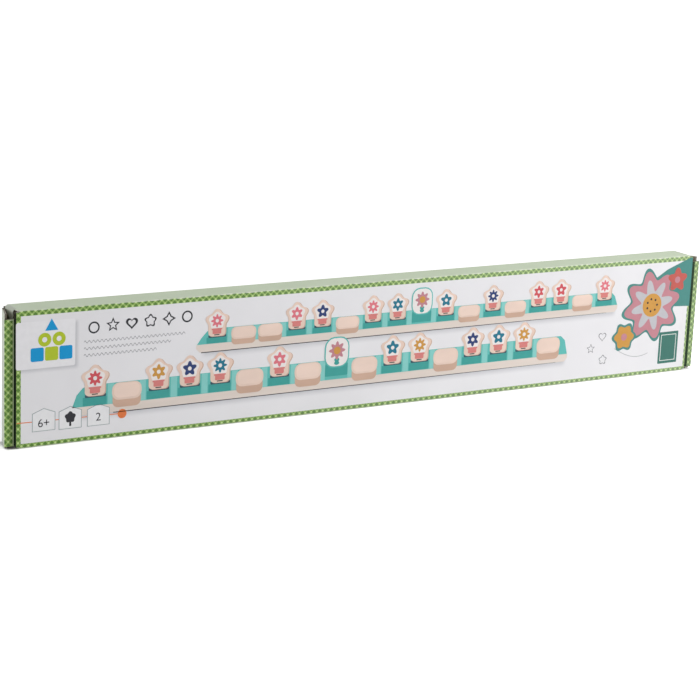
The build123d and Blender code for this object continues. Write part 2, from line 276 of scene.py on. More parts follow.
class Finish:
    """A node material being built. Each method adds a node and returns its output socket."""

    def __init__(self, name, roughness=0.55, sheen_gloss=0.3):
        self.material = bpy.data.materials.new(name)
        self.material.use_nodes = True
        self.tree = self.material.node_tree
        self.shader = self.tree.nodes["Principled BSDF"]
        self.shader.inputs["Roughness"].default_value = roughness
        self.shader.inputs["Specular IOR Level"].default_value = sheen_gloss
        self.place = self.add("ShaderNodeTexCoord").outputs["Object"]

    def add(self, kind, **settings):
        node = self.tree.nodes.new(kind)
        for key, value in settings.items():
            setattr(node, key, value)
        return node

    def feed(self, socket, value):
        if isinstance(value, bpy.types.NodeSocket):
            self.tree.links.new(value, socket)
        elif socket.type == "RGBA" and len(value) == 3:
            socket.default_value = (*value, 1)
        else:
            socket.default_value = value

    def math(self, operation, a, b=0.0):
        node = self.add("ShaderNodeMath", operation=operation)
        self.feed(node.inputs[0], a)
        self.feed(node.inputs[1], b)
        return node.outputs[0]

    def all_of(self, *shares):
        """Product of several shares, each from 0 to 1."""
        total = shares[0]
        for share in shares[1:]:
            total = self.math("MULTIPLY", total, share)
        return total

    def over(self, value, edge):
        """1 where value is over edge."""
        return self.math("GREATER_THAN", value, edge)

    def under(self, value, edge):
        """1 where value is under edge."""
        return self.math("LESS_THAN", value, edge)

    def ramp(self, value, start, end, low=0.0, high=1.0):
        """Smooth change from low to high as value goes from start to end."""
        node = self.add("ShaderNodeMapRange", interpolation_type="SMOOTHSTEP")
        for socket, given in zip(node.inputs, (value, start, end, low, high)):
            self.feed(socket, given)
        return node.outputs[0]

    def along(self, origin, direction):
        """Distance of the point from origin along direction."""
        moved = self.add("ShaderNodeVectorMath", operation="SUBTRACT")
        self.feed(moved.inputs[0], self.place)
        self.feed(moved.inputs[1], tuple(origin))
        node = self.add("ShaderNodeVectorMath", operation="DOT_PRODUCT")
        self.feed(node.inputs[0], moved.outputs[0])
        self.feed(node.inputs[1], tuple(direction))
        return node.outputs["Value"]

    def axes(self):
        return self.add_after("ShaderNodeSeparateXYZ", self.place).outputs

    def add_after(self, kind, source, **settings):
        node = self.add(kind, **settings)
        self.feed(node.inputs[0], source)
        return node

    def mix(self, share, a, b):
        """Colour a, or b where share is 1."""
        node = self.add("ShaderNodeMix", data_type="RGBA")
        factor, first, second = (s for s in node.inputs if s.enabled)
        self.feed(factor, share)
        self.feed(first, a)
        self.feed(second, b)
        return next(s for s in node.outputs if s.enabled)

    def noise(self, scale, detail=2.0, stretch=(1, 1, 1)):
        mapping = self.add_after("ShaderNodeMapping", self.place)
        mapping.inputs["Scale"].default_value = stretch
        node = self.add("ShaderNodeTexNoise")
        self.feed(node.inputs["Vector"], mapping.outputs[0])
        node.inputs["Scale"].default_value = scale
        node.inputs["Detail"].default_value = detail
        return node.outputs["Fac"]

    def tone(self, colour, share, amount):
        """Colour made lighter and darker by amount as share goes from 0 to 1."""
        node = self.add("ShaderNodeHueSaturation")
        self.feed(node.inputs["Value"], self.ramp(share, 0.25, 0.75, 1 - amount, 1 + amount))
        self.feed(node.inputs["Color"], colour)
        return node.outputs[0]

    def relief(self, height, strength=0.12, depth=0.04):
        """Fine relief, with its depth in millimetres."""
        node = self.add("ShaderNodeBump")
        node.inputs["Strength"].default_value = strength
        node.inputs["Distance"].default_value = depth * MM
        self.feed(node.inputs["Height"], height)
        self.feed(self.shader.inputs["Normal"], node.outputs[0])

    def choose(self, value, colours):
        """One of several colours, by a value from 0 to 1."""
        node = self.add("ShaderNodeValToRGB")
        node.color_ramp.interpolation = "CONSTANT"
        stops = node.color_ramp.elements
        while len(stops) < len(colours):
            stops.new(1.0)
        for number, (stop, colour) in enumerate(zip(stops, colours)):
            stop.position = number / len(colours)
            stop.color = (*colour, 1)
        self.feed(node.inputs[0], value)
        return node.outputs[0]

    def colour(self, value):
        self.feed(self.shader.inputs["Base Color"], value)
        return self.material

    def paper_feel(self, colour, roughness=(0.5, 0.62), amount=0.015):
        """Varnished board: a fine mottle in colour, gloss and relief."""
        broad = self.noise(24, 2)
        self.feed(self.shader.inputs["Roughness"], self.ramp(broad, 0.3, 0.7, *roughness))
        self.relief(self.noise(900, 3))
        return self.colour(self.tone(colour, broad, amount))

    def kraft(self, board):
        """Brown liner with fibres that run up the board."""
        return self.tone(board.kraft, self.noise(420, 3, (1, 1, 0.15)), 0.05)

    def pale(self, green):
        """Printed pale green, a little uneven."""
        return self.tone(green, self.noise(30), 0.02)


def check_pitch(look):
    """From one dark check to the next in its row: the rows fit between the front panel's two long borders."""
    between = sleeve_high.z - sleeve_low.z - (look.border_top + look.border_bottom) / 2
    return 2 * between / look.check_rows


def check(finish, across, up, look):
    """Diagonal gingham check of three greens over two directions in the panel."""
    pitch = check_pitch(look)
    across = finish.math("ADD", across, look.check_share * pitch / 2 - look.check_start)

    def stripe(run):
        turn = finish.math("FRACT", finish.math("DIVIDE", run, pitch))
        return finish.under(turn, look.check_share)

    rising = stripe(finish.math("ADD", across, up))
    falling = stripe(finish.math("SUBTRACT", across, up))
    either = finish.math("MAXIMUM", rising, falling)
    both = finish.math("MINIMUM", rising, falling)
    checks = finish.mix(both, finish.mix(either, look.check_light, look.check_mid), look.check_dark)
    x, _, _ = finish.axes()
    fade = finish.ramp(x, sleeve_low.x, sleeve_high.x, 0.0, look.check_fade)
    return finish.mix(fade, checks, look.paper)


def cut_edge(finish, depth, run, board, printed, plain):
    """Raw edge of the board: the printed and the plain liner with the hollow flutes between them, their
    hollows painted dark as shade.
    """
    middle = board.thick / 2
    wave = finish.math("SINE", finish.math("MULTIPLY", run, tau / board.flute_pitch))
    swing = finish.math("MULTIPLY", wave, middle - 1.5 * board.liner)
    gap = finish.math("ABSOLUTE", finish.math("SUBTRACT", finish.math("SUBTRACT", depth, middle), swing))
    seen_paper = 0.6 * board.flute_paper
    # the hollows between the flutes are painted dark as shade
    hollow_shade_share = 0.1
    dark = tuple(hollow_shade_share * c for c in plain)
    hollow = finish.mix(finish.under(gap, seen_paper), dark, plain)
    inner = finish.mix(finish.over(depth, board.thick - board.liner), hollow, plain)
    return finish.mix(finish.under(depth, board.liner), inner, printed)


# The print's layout on the front panel, in millimetres from its lower left corner
PANEL_LONG = (sleeve_high.x - sleeve_low.x) / MM
PANEL_HIGH = (sleeve_high.z - sleeve_low.z) / MM
LABEL = ((0.0, 60.1), (47.0, 95.9))
LABEL_ROUND = 1.6
LABEL_SHADE = ((-9.0, 58.3), (49.0, 94.0))
LABEL_BLUR = 2.2

# Each rail: its ends, its levels, where the dark line under it starts, and its row of places
RAILS = (
    {
        "name": "upper", "left": 147.7, "right": 558.2, "foot": 60.2, "edge": 66.4, "back": 78.4,
        "line": 152.0, "first": 165.2, "pitch": 23.6,
    },
    {
        "name": "lower", "left": 44.2, "right": 506.7, "foot": 20.4, "edge": 27.0, "back": 43.4,
        "line": 78.5, "first": 63.2, "pitch": 26.4,
    },
)

# A rail's printed shadow: moved from the rail's ends, and its levels over the rail's foot
RAIL_SHADE = {"left": 6.0, "right": -3.0, "low": -2.6, "high": 4.0}
RAIL_BLUR = 3.4

# The places on a rail, and the ones that hold a lying token
PLACES = 17
LYING = {"upper": (1, 2, 5, 10, 12, 15), "lower": (1, 5, 7, 9, 12, 16)}


def soft_box(finish, u, v, low, high, blur):
    """1 inside a rectangle given in millimetres, falling away softly across its sides."""
    shares = []
    for place, start, stop in zip((u, v), low, high):
        shares.append(finish.ramp(place, (start - blur) * MM, (start + blur) * MM))
        shares.append(finish.ramp(place, (stop - blur) * MM, (stop + blur) * MM, 1.0, 0.0))
    return finish.all_of(*shares)


def printed_shadow(finish, u, v, y):
    """Soft shadows that are printed under the label and the rails, on the front panel alone."""
    shadow = soft_box(finish, u, v, *LABEL_SHADE, LABEL_BLUR)
    for rail in RAILS:
        low = (rail["left"] + RAIL_SHADE["left"], rail["foot"] + RAIL_SHADE["low"])
        high = (rail["right"] + RAIL_SHADE["right"], rail["foot"] + RAIL_SHADE["high"])
        shadow = finish.math("MAXIMUM", shadow, soft_box(finish, u, v, low, high, RAIL_BLUR))
    return finish.all_of(shadow, finish.under(y, 0.0))


def front_point(u, v, lift=0.0):
    """A point of the front panel, u along it and v up it in millimetres, lift in metres off it."""
    return Vector((sleeve_low.x + u * MM, sleeve_low.y - lift, sleeve_low.z + v * MM))


def sleeve_finish(look, board):
    """The sleeve: bordered front and back, pale green top and bottom, kraft inside, painted near black at its
    cut ends as shade.
    """
    finish = Finish("board_sleeve_print")
    x, y, z = finish.axes()
    u = finish.math("SUBTRACT", x, sleeve_low.x)
    v = finish.math("SUBTRACT", z, sleeve_low.z)
    long_side = sleeve_high.x - sleeve_low.x
    high_side = sleeve_high.z - sleeve_low.z
    inside_border = finish.all_of(
        finish.over(u, look.border_left), finish.under(u, long_side - look.border_right),
        finish.over(v, look.border_bottom), finish.under(v, high_side - look.border_top),
    )
    shadow = finish.all_of(printed_shadow(finish, u, v, y), look.shade_share)
    ground = finish.mix(shadow, finish.tone(look.paper, finish.noise(14), 0.012), look.shade)
    checks = check(finish, u, finish.math("SUBTRACT", v, look.border_bottom / 2), look)
    panel = finish.mix(inside_border, checks, ground)

    from_front = finish.math("SUBTRACT", y, sleeve_low.y)
    from_back = finish.math("SUBTRACT", sleeve_high.y, y)
    from_top = finish.math("SUBTRACT", sleeve_high.z, z)
    to_side = finish.math("MINIMUM", from_front, from_back)
    to_level = finish.math("MINIMUM", v, from_top)
    outside = finish.mix(finish.under(to_level, to_side), panel, finish.pale(look.top_green))
    rubbed = finish.all_of(
        finish.over(to_side, board.rubbed), finish.over(to_level, board.rubbed),
        finish.ramp(finish.noise(160, 4), 0.42, 0.62, 0.15, 0.85),
    )
    outside = finish.mix(rubbed, outside, look.worn)
    depth = finish.math("MINIMUM", to_side, to_level)
    surface = finish.mix(finish.over(depth, board.thick / 2), outside, board.kraft)
    from_middle = finish.math("ABSOLUTE", finish.math("SUBTRACT", u, long_side / 2))
    raw = finish.over(from_middle, long_side / 2 - board.raw_end)
    # the cut ends, liners and flutes alike, are painted near black as shade
    edge = cut_edge(finish, depth, z, board, board.end_edge_shade, board.end_edge_shade)
    return finish.paper_feel(finish.mix(raw, surface, edge))


def shade_band_reach(side, place, look):
    """Where the band of painted shade on a tuck flap starts and stops, from its crease."""
    index = list(ENDS).index(side)
    end = sleeve_low.x if side == "left" else sleeve_high.x
    stop = abs(place[0].x - end) - look.shade_band_stop[index]
    return stop - look.shade_band_width[index], stop


def tuck_print(finish, side, place, look, board):
    """Check print of a tuck flap, with a band of painted shade where it passes the edge of the front panel.
    """
    origin, run, hinge, _ = place
    across = finish.along(origin, run)
    up = finish.along(origin, hinge)
    checks = check(finish, across, up, look)
    start, stop = shade_band_reach(side, place, look)
    soft = look.shade_band_soft
    # the band is painted shade: the front panel's end shadowing the flap
    band = finish.all_of(
        finish.ramp(across, start - soft, start + soft),
        finish.ramp(across, stop - soft, stop + soft, 1.0, 0.0),
    )
    beside = finish.all_of(finish.over(across, start - look.line_width), finish.under(across, start))
    above = finish.over(up, board.tuck_high - origin.z - look.line_width)
    line = finish.math("MAXIMUM", beside, above)
    share = look.line_share[list(ENDS).index(side)]
    lined = finish.mix(finish.math("MULTIPLY", line, share), checks, look.line_green)
    return finish.mix(band, lined, look.shade_band_green)


def flap_finish(node, place, look, board):
    """A flap of printed board: checked with a band of painted shade on a tuck flap, and pale green on the
    others.
    """
    finish = Finish(f"board_{node}")
    origin, run, hinge, outward = place
    depth = finish.math("SUBTRACT", board.thick / 2, finish.along(origin, outward))
    across = finish.along(origin, run)
    up = finish.along(origin, hinge)
    if "tuck" in node:
        outside = tuck_print(finish, node.split("_")[0], place, look, board)
    else:
        outside = finish.pale(look.flap_green)
    from_middle = finish.math("ABSOLUTE", finish.math("SUBTRACT", depth, board.thick / 2))
    raw = finish.under(from_middle, board.thick / 2 - board.inked_rim)
    edge = cut_edge(finish, depth, finish.math("ADD", across, up), board, board.raw_edge, board.kraft)
    surface = finish.mix(finish.over(depth, board.thick / 2), outside, finish.kraft(board))
    return finish.paper_feel(finish.mix(raw, surface, edge))


def paint(node, material):
    """Gives a CAD node its finish."""
    slots = frame["nodes"][node].data.materials
    if not len(slots):
        raise RuntimeError(f"{node} has no material slot")
    for index in range(len(slots)):
        slots[index] = material


def crease_axis(name):
    return Vector(joints[name]["pos_m"])


def flap_places(board):
    """For each flap: its crease's axis, its run away from the crease, its hinge line and its outward side."""
    places = {}
    up = Vector((0, 0, 1))
    for index, (side, sign) in enumerate(ENDS.items()):
        axis = crease_axis(f"{side}_closure_hinge")
        tuck_axis = crease_axis(f"{side}_tuck_crease")
        run = (tuck_axis - axis).normalized()
        places[f"{side}_closure_panel"] = (axis, run, up, Vector((-sign * run.y, sign * run.x, 0)))
        lean = board.tuck_lean[index]
        run = Vector((-sign * cos(lean), sin(lean), 0))
        places[f"{side}_tuck_flap"] = (tuck_axis, run, up, Vector((-sign * sin(lean), -cos(lean), 0)))
        lean = board.dust_lean
        for level, turn in LEVELS.items():
            axis = crease_axis(f"{side}_{level}_dust_crease")
            run = Vector((-sign * sin(lean), 0, -turn * cos(lean)))
            outward = Vector((sign * cos(lean), 0, -turn * sin(lean)))
            places[f"{side}_{level}_dust_flap"] = (axis, run, Vector((0, 1, 0)), outward)
    return places


def crease_reach(node, place, board):
    """From a crease's axis to where its flap's flat part starts."""
    axis, run = place[:2]
    nearest = min((vertex.co - axis).dot(run) for vertex in frame["nodes"][node].data.vertices)
    return nearest + board.thick / 2


def wood_finish(name, colour, painted=None, painted_under=0.0):
    """Fine pale wood with its grain along the boards, painted on the side that the faces lie on."""
    finish = Finish(name, roughness=0.55)
    grain = finish.noise(60, 5, (0.12, 1.6, 1.6))
    pores = finish.noise(700, 3, (0.05, 1, 1))
    wood = finish.tone(finish.tone(colour, grain, 0.10), pores, 0.04)
    finish.relief(pores, 0.2, 0.05)
    if painted is None:
        return finish.colour(wood)
    _, y, _ = finish.axes()
    return finish.colour(finish.mix(finish.under(y, painted_under), wood, painted))


# The motifs on the flip faces: where each row's draw starts, the fewest petals and how many more there may be
MOTIF_DRAW = {"lower": 3.0, "upper": 31.0}
FEWEST_PETALS = 4.0
MORE_PETALS = 4.0
SECOND_DRAW = 7.3


def face_finish(picture, contents, row):
    """Sanded wood with a small printed motif on each flip face, by its place in the row."""
    finish = Finish(f"wood_faces_{row}", roughness=0.5)
    low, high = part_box(f"{row}_face_01")
    last_low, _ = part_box(f"{row}_face_{PLACES - 1}")
    pitch = (last_low.x - low.x) / (PLACES - 1)
    centre = (low + high) / 2
    grain = finish.noise(60, 5, (1.6, 1.6, 0.12))
    wood = finish.tone(picture.token, grain, 0.07)
    x, y, z = finish.axes()
    step = finish.math("DIVIDE", finish.math("SUBTRACT", x, centre.x), pitch)
    index = finish.math("ROUND", step)
    across = finish.math("MULTIPLY", finish.math("SUBTRACT", step, index), pitch)
    up = finish.math("SUBTRACT", z, centre.z - contents.motif_drop)
    square = finish.math("ADD", finish.math("MULTIPLY", across, across), finish.math("MULTIPLY", up, up))
    radius = finish.math("SQRT", square)
    turn = finish.math("ARCTAN2", across, up)
    random = finish.add("ShaderNodeTexWhiteNoise", noise_dimensions="1D")
    finish.feed(random.inputs["W"], finish.math("ADD", index, MOTIF_DRAW[row]))
    draw = random.outputs["Value"]
    more = finish.math("ROUND", finish.math("MULTIPLY", draw, MORE_PETALS))
    petals = finish.math("ADD", FEWEST_PETALS, more)
    swell = finish.math("COSINE", finish.math("MULTIPLY", turn, petals))
    reach = finish.math("ADD", contents.motif_size, finish.math("MULTIPLY", swell, contents.motif_swell))
    flower = finish.under(radius, reach)
    heart = finish.under(radius, contents.motif_heart)
    colours = (picture.petal, picture.mustard, picture.red, picture.block_blue, picture.corner_teal)
    chosen = finish.choose(finish.math("FRACT", finish.math("MULTIPLY", draw, SECOND_DRAW)), colours)
    printed = finish.mix(heart, finish.mix(flower, wood, chosen), picture.petal_pale)
    front = finish.under(y, low.y + contents.motif_depth)
    finish.relief(grain, 0.12, 0.05)
    return finish.colour(finish.mix(front, wood, printed))


def steel_finish(contents):
    """Drawn steel wire."""
    finish = Finish("steel_rod", roughness=0.3)
    finish.shader.inputs["Metallic"].default_value = 1.0
    drawn = finish.noise(500, 3, (0.02, 1, 1))
    finish.relief(drawn, 0.15, 0.03)
    finish.feed(finish.shader.inputs["Roughness"], finish.ramp(drawn, 0.3, 0.7, 0.24, 0.4))
    return finish.colour(finish.tone(contents.steel, drawn, 0.05))


def card_finish(picture, contents):
    """Matt card with a ruled line up both sides of its face."""
    finish = Finish("card_targets", roughness=0.6)
    low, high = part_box("target_cards")
    x, _, _ = finish.axes()
    from_middle = finish.math("ABSOLUTE", finish.math("SUBTRACT", x, (low.x + high.x) / 2))
    from_side = finish.math("SUBTRACT", (high.x - low.x) / 2, from_middle)
    start = contents.card_margin
    ruled = finish.all_of(finish.over(from_side, start), finish.under(from_side, start + contents.card_line))
    card = finish.tone(contents.card, finish.noise(300, 3), 0.03)
    finish.relief(finish.noise(1200, 2), 0.1, 0.03)
    return finish.colour(finish.mix(ruled, card, picture.corner_teal))


def leaflet_finish(look, contents):
    """Thin uncoated paper with pale green columns."""
    finish = Finish("paper_leaflet", roughness=0.7)
    low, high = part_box("rules_leaflet")
    x, _, z = finish.axes()
    turn = finish.math("FRACT", finish.math("DIVIDE", finish.math("SUBTRACT", x, low.x), contents.column))
    band = finish.all_of(
        finish.under(turn, contents.column_share),
        finish.over(z, low.z + contents.leaflet_margin), finish.under(z, high.z - contents.leaflet_margin),
    )
    paper = finish.tone(contents.leaflet, finish.noise(500, 3), 0.02)
    finish.relief(finish.noise(1500, 2), 0.1, 0.02)
    return finish.colour(finish.mix(band, paper, look.top_green))


def ink_finish(name, colour, grain=None, amount=0.02):
    """Flat printed colour on varnished board, with a fine mottle or a printed wood grain."""
    finish = Finish(name)
    finish.relief(finish.noise(900, 3))
    return finish.colour(finish.tone(colour, finish.noise(*(grain or (260, 3))), amount))


def motif_ink(picture):
    """Printed flowers in several colours, by the ink number that each one carries."""
    finish = Finish("ink_motifs")
    number = finish.add("ShaderNodeAttribute", attribute_name="ink").outputs["Fac"]
    colours = (
        picture.motif_red, picture.mustard, picture.motif_navy, picture.motif_blue, picture.motif_pink
    )
    finish.relief(finish.noise(900, 3))
    return finish.colour(finish.tone(finish.choose(number, colours), finish.noise(260, 3), 0.02))


def slab_faces(mesh, outline, hole, near, far):
    """Adds a closed slab of the panel's front between two lifts, from an outline and a like-numbered hole."""
    rings = []
    for lift in (far, near):
        rings.append([mesh.verts.new(front_point(u, v, lift)) for u, v in outline])
        if hole:
            rings[-1] = (rings[-1], [mesh.verts.new(front_point(u, v, lift)) for u, v in hole])
    count = len(outline)
    steps = [(k, (k + 1) % count) for k in range(count)]
    if not hole:
        back, front = rings
        mesh.faces.new(front)
        mesh.faces.new(back[::-1])
        for a, b in steps:
            mesh.faces.new((back[a], back[b], front[b], front[a]))
        return
    (back, back_in), (front, front_in) = rings
    for a, b in steps:
        mesh.faces.new((front[a], front[b], front_in[b], front_in[a]))
        mesh.faces.new((back[b], back[a], back_in[a], back_in[b]))
        mesh.faces.new((back[a], back[b], front[b], front[a]))
        mesh.faces.new((back_in[b], back_in[a], front_in[a], front_in[b]))


# How far a print reaches into the board, in layers
PRINT_ROOT = 0.3


def print_piece(name, shapes, layers, material):
    """One object of thin printed patches. A shape is an outline, or an outline and its hole."""
    look = bpy.context.scene.carton_print
    mesh = bmesh.new()
    for shape in shapes:
        outline, hole = shape if isinstance(shape, tuple) else (shape, None)
        slab_faces(mesh, outline, hole, look.layer * layers, -PRINT_ROOT * look.layer)
    bmesh.ops.recalc_face_normals(mesh, faces=mesh.faces)
    return finished(name, mesh, material, "carton")


def placed(name, data, body):
    """Makes an object of a mesh and lets it ride on its body."""
    piece = bpy.data.objects.new(name, data)
    bpy.context.scene.collection.objects.link(piece)
    if body:
        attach(piece, body)
    return piece


def finished(name, mesh, material, body):
    """Makes an object of a bmesh and lets it ride on its body."""
    data = bpy.data.meshes.new(name)
    mesh.to_mesh(data)
    mesh.free()
    data.materials.append(material)
    return placed(name, data, body)


def shifted(outline, u, v, size=1.0):
    return [(u + size * a, v + size * b) for a, b in outline]


def disc(u, v, radius, steps=72):
    return shifted(wheel_outline(1, 0, steps), u, v, radius)


def wheel_outline(petals, depth, steps=72, start=0.0):
    """A round outline of radius 1 with petals, or a plain circle for a depth of 0."""
    outline = []
    for k in range(steps):
        turn = tau * k / steps
        reach = (1 + depth * cos(petals * (turn - start))) / (1 + depth)
        outline.append((reach * cos(turn), reach * sin(turn)))
    return outline


def star_outline(points, inner=0.45):
    outline = []
    for k in range(2 * points):
        reach = inner if k % 2 else 1.0
        turn = pi / 2 + pi * k / points
        outline.append((reach * cos(turn), reach * sin(turn)))
    return outline


def heart_outline(steps=48):
    outline = []
    for k in range(steps):
        turn = tau * k / steps
        up = 13 * cos(turn) - 5 * cos(2 * turn) - 2 * cos(3 * turn) - cos(4 * turn)
        outline.append((-sin(turn) ** 3, up / 16))
    return outline


def rounded_box(low, high, radius, steps=6):
    corners = (
        (high[0] - radius, low[1] + radius, -pi / 2), (high[0] - radius, high[1] - radius, 0.0),
        (low[0] + radius, high[1] - radius, pi / 2), (low[0] + radius, low[1] + radius, pi),
    )
    outline = []
    for u, v, start in corners:
        for k in range(steps + 1):
            turn = start + pi / 2 * k / steps
            outline.append((u + radius * cos(turn), v + radius * sin(turn)))
    return outline


def ring(outline, u, v, size, line):
    """An outline of the given size drawn as a line."""
    return (shifted(outline, u, v, size), shifted(outline, u, v, size - line))


class Growth:
    """A Geometry Nodes tree being built, with named inputs."""

    def __init__(self, name, **inputs):
        self.tree = bpy.data.node_groups.new(name, "GeometryNodeTree")
        face = self.tree.interface
        face.new_socket(name="Geometry", in_out="INPUT", socket_type="NodeSocketGeometry")
        for label, kind in inputs.items():
            face.new_socket(name=label.capitalize(), in_out="INPUT", socket_type=f"NodeSocket{kind}")
        face.new_socket(name="Geometry", in_out="OUTPUT", socket_type="NodeSocketGeometry")
        self.given = self.tree.nodes.new("NodeGroupInput").outputs
        self.result = self.tree.nodes.new("NodeGroupOutput").inputs[0]

    def add(self, kind, feeds=None, **settings):
        node = self.tree.nodes.new(kind)
        for key, value in settings.items():
            setattr(node, key, value)
        for key, value in (feeds or {}).items():
            socket = node.inputs[key]
            if isinstance(value, bpy.types.NodeSocket):
                self.tree.links.new(value, socket)
            else:
                socket.default_value = value
        return node

    def math(self, operation, a, b=0.0):
        return self.add("ShaderNodeMath", {0: a, 1: b}, operation=operation).outputs[0]

    def join(self, *geometries):
        node = self.add("GeometryNodeJoinGeometry")
        for geometry in geometries:
            self.tree.links.new(geometry, node.inputs[0])
        return node.outputs[0]

    def slab(self, curve, thick):
        """A closed slab filled from a flat closed curve."""
        flat = self.add("GeometryNodeFillCurve", {0: curve}, mode="NGONS").outputs[0]
        raised = self.add(
            "GeometryNodeExtrudeMesh", {"Mesh": flat, "Offset Scale": thick, "Individual": False}
        )
        under = self.add("GeometryNodeFlipFaces", {"Mesh": flat}).outputs[0]
        both = self.join(raised.outputs["Mesh"], under)
        return self.add("GeometryNodeMergeByDistance", {"Geometry": both, "Distance": 1e-6}).outputs[0]

    def close(self, geometry, material):
        real = self.add("GeometryNodeRealizeInstances", {0: geometry}).outputs[0]
        dressed = self.add("GeometryNodeSetMaterial", {"Geometry": real, "Material": material}).outputs[0]
        self.tree.links.new(dressed, self.result)
        return self.tree


def set_on_points(growth, shape):
    """Sets a flat shape on every point, facing out of the front panel, each with its own ink number."""
    placed = growth.add(
        "GeometryNodeInstanceOnPoints",
        {"Points": growth.given["Geometry"], "Instance": shape, "Rotation": (pi / 2, 0, 0)},
    ).outputs[0]
    tint = growth.add("FunctionNodeRandomValue", data_type="FLOAT")
    growth.tree.links.new(growth.given["Seed"], tint.inputs["Seed"])
    named = growth.add(
        "GeometryNodeStoreNamedAttribute",
        {"Geometry": placed, "Name": "ink", "Value": next(s for s in tint.outputs if s.enabled)},
        data_type="FLOAT", domain="INSTANCE",
    ).outputs[0]
    return growth.close(named, growth.given["Material"])


def tablet_tree():
    """Sets a rounded tablet on every point."""
    growth = Growth(
        "tablets", width="Float", height="Float", round="Float", thick="Float",
        seed="Int", material="Material",
    )
    given = growth.given
    outline = growth.add(
        "GeometryNodeCurvePrimitiveQuadrilateral", {"Width": given["Width"], "Height": given["Height"]}
    ).outputs[0]
    soft = growth.add(
        "GeometryNodeFilletCurve", {"Curve": outline, "Radius": given["Round"], "Count": 4}, mode="POLY"
    ).outputs[0]
    return set_on_points(growth, growth.slab(soft, given["Thick"]))


def blossom_tree(steps=40):
    """Sets a blossom with round petals on every point: no dent makes it a disc, and flat squashes it."""
    growth = Growth(
        "blossoms", size="Float", petals="Float", dent="Float", flat="Float", thick="Float",
        seed="Int", material="Material",
    )
    given = growth.given
    circle = growth.add(
        "GeometryNodeCurvePrimitiveCircle", {"Resolution": steps, "Radius": given["Size"]}
    ).outputs[0]
    turn = growth.math("MULTIPLY", growth.add("GeometryNodeInputIndex").outputs[0], tau / steps)
    from_top = growth.math("SUBTRACT", turn, pi / 2)
    wave = growth.math("COSINE", growth.math("MULTIPLY", from_top, given["Petals"]))
    swell = growth.math("ADD", growth.math("MULTIPLY", wave, given["Dent"]), 1.0)
    reach = growth.math("DIVIDE", swell, growth.math("ADD", given["Dent"], 1.0))
    high = growth.math("MULTIPLY", reach, given["Flat"])
    share = growth.add("ShaderNodeCombineXYZ", {"X": reach, "Y": high, "Z": 1.0}).outputs[0]
    place = growth.add("GeometryNodeInputPosition").outputs[0]
    moved = growth.add("ShaderNodeVectorMath", {0: place, 1: share}, operation="MULTIPLY").outputs[0]
    outline = growth.add("GeometryNodeSetPosition", {"Geometry": circle, "Position": moved}).outputs[0]
    return set_on_points(growth, growth.slab(outline, given["Thick"]))


def flute_tree():
    """Turns every edge path into a wave of fluted paper that stands a little over the cut edge."""
    growth = Growth(
        "flutes", pitch="Float", swing="Float", paper="Float", across="Vector", material="Material"
    )
    given = growth.given
    path = growth.add("GeometryNodeMeshToCurve", {0: given["Geometry"]}).outputs[0]
    steps_a_wave = 10.0
    step = growth.math("DIVIDE", given["Pitch"], steps_a_wave)
    fine = growth.add("GeometryNodeResampleCurve", {"Curve": path, "Length": step}, mode="LENGTH").outputs[0]
    travelled = growth.add("GeometryNodeSplineParameter").outputs["Length"]
    turn = growth.math("MULTIPLY", growth.math("DIVIDE", travelled, given["Pitch"]), tau)
    wave = growth.math("MULTIPLY", growth.math("SINE", turn), given["Swing"])
    move = growth.add("ShaderNodeVectorMath", {0: given["Across"]}, operation="SCALE")
    growth.tree.links.new(wave, move.inputs["Scale"])
    waved = growth.add("GeometryNodeSetPosition", {"Geometry": fine, "Offset": move.outputs[0]}).outputs[0]
    profile = growth.add(
        "GeometryNodeCurvePrimitiveQuadrilateral", {"Width": given["Paper"], "Height": given["Paper"]}
    ).outputs[0]
    ribbon = growth.add(
        "GeometryNodeCurveToMesh", {"Curve": waved, "Profile Curve": profile, "Fill Caps": True}
    ).outputs[0]
    return growth.close(ribbon, given["Material"])


def grow(name, points, edges, tree, settings, body):
    """Runs a tree on points and edges and keeps the result as a plain mesh that rides on its body."""
    data = bpy.data.meshes.new(name)
    data.from_pydata([tuple(p) for p in points], edges, [])
    piece = placed(name, data, None)
    modifier = piece.modifiers.new("Growth", "NODES")
    modifier.node_group = tree
    inputs = {item.name: item.identifier for item in tree.interface.items_tree if item.in_out == "INPUT"}
    for label, value in settings.items():
        modifier[inputs[label]] = value
    grown = bpy.data.meshes.new_from_object(piece.evaluated_get(bpy.context.evaluated_depsgraph_get()))
    piece.modifiers.remove(modifier)
    piece.data = grown
    if not len(grown.polygons):
        raise RuntimeError(f"{name} came out empty")
    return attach(piece, body)


def rounded_corner(before, corner, after, radius, steps=6):
    """Points of an arc that rounds a corner of a flat outline."""
    before, corner, after = (Vector(p) for p in (before, corner, after))
    one, two = (before - corner).normalized(), (after - corner).normalized()
    half = one.angle(two) / 2
    inset = radius / tan(half)
    centre = corner + (one + two).normalized() * (radius / sin(half))
    first, last = corner + one * inset - centre, corner + two * inset - centre
    return [tuple(centre + first.lerp(last, k / steps).normalized() * radius) for k in range(steps + 1)]


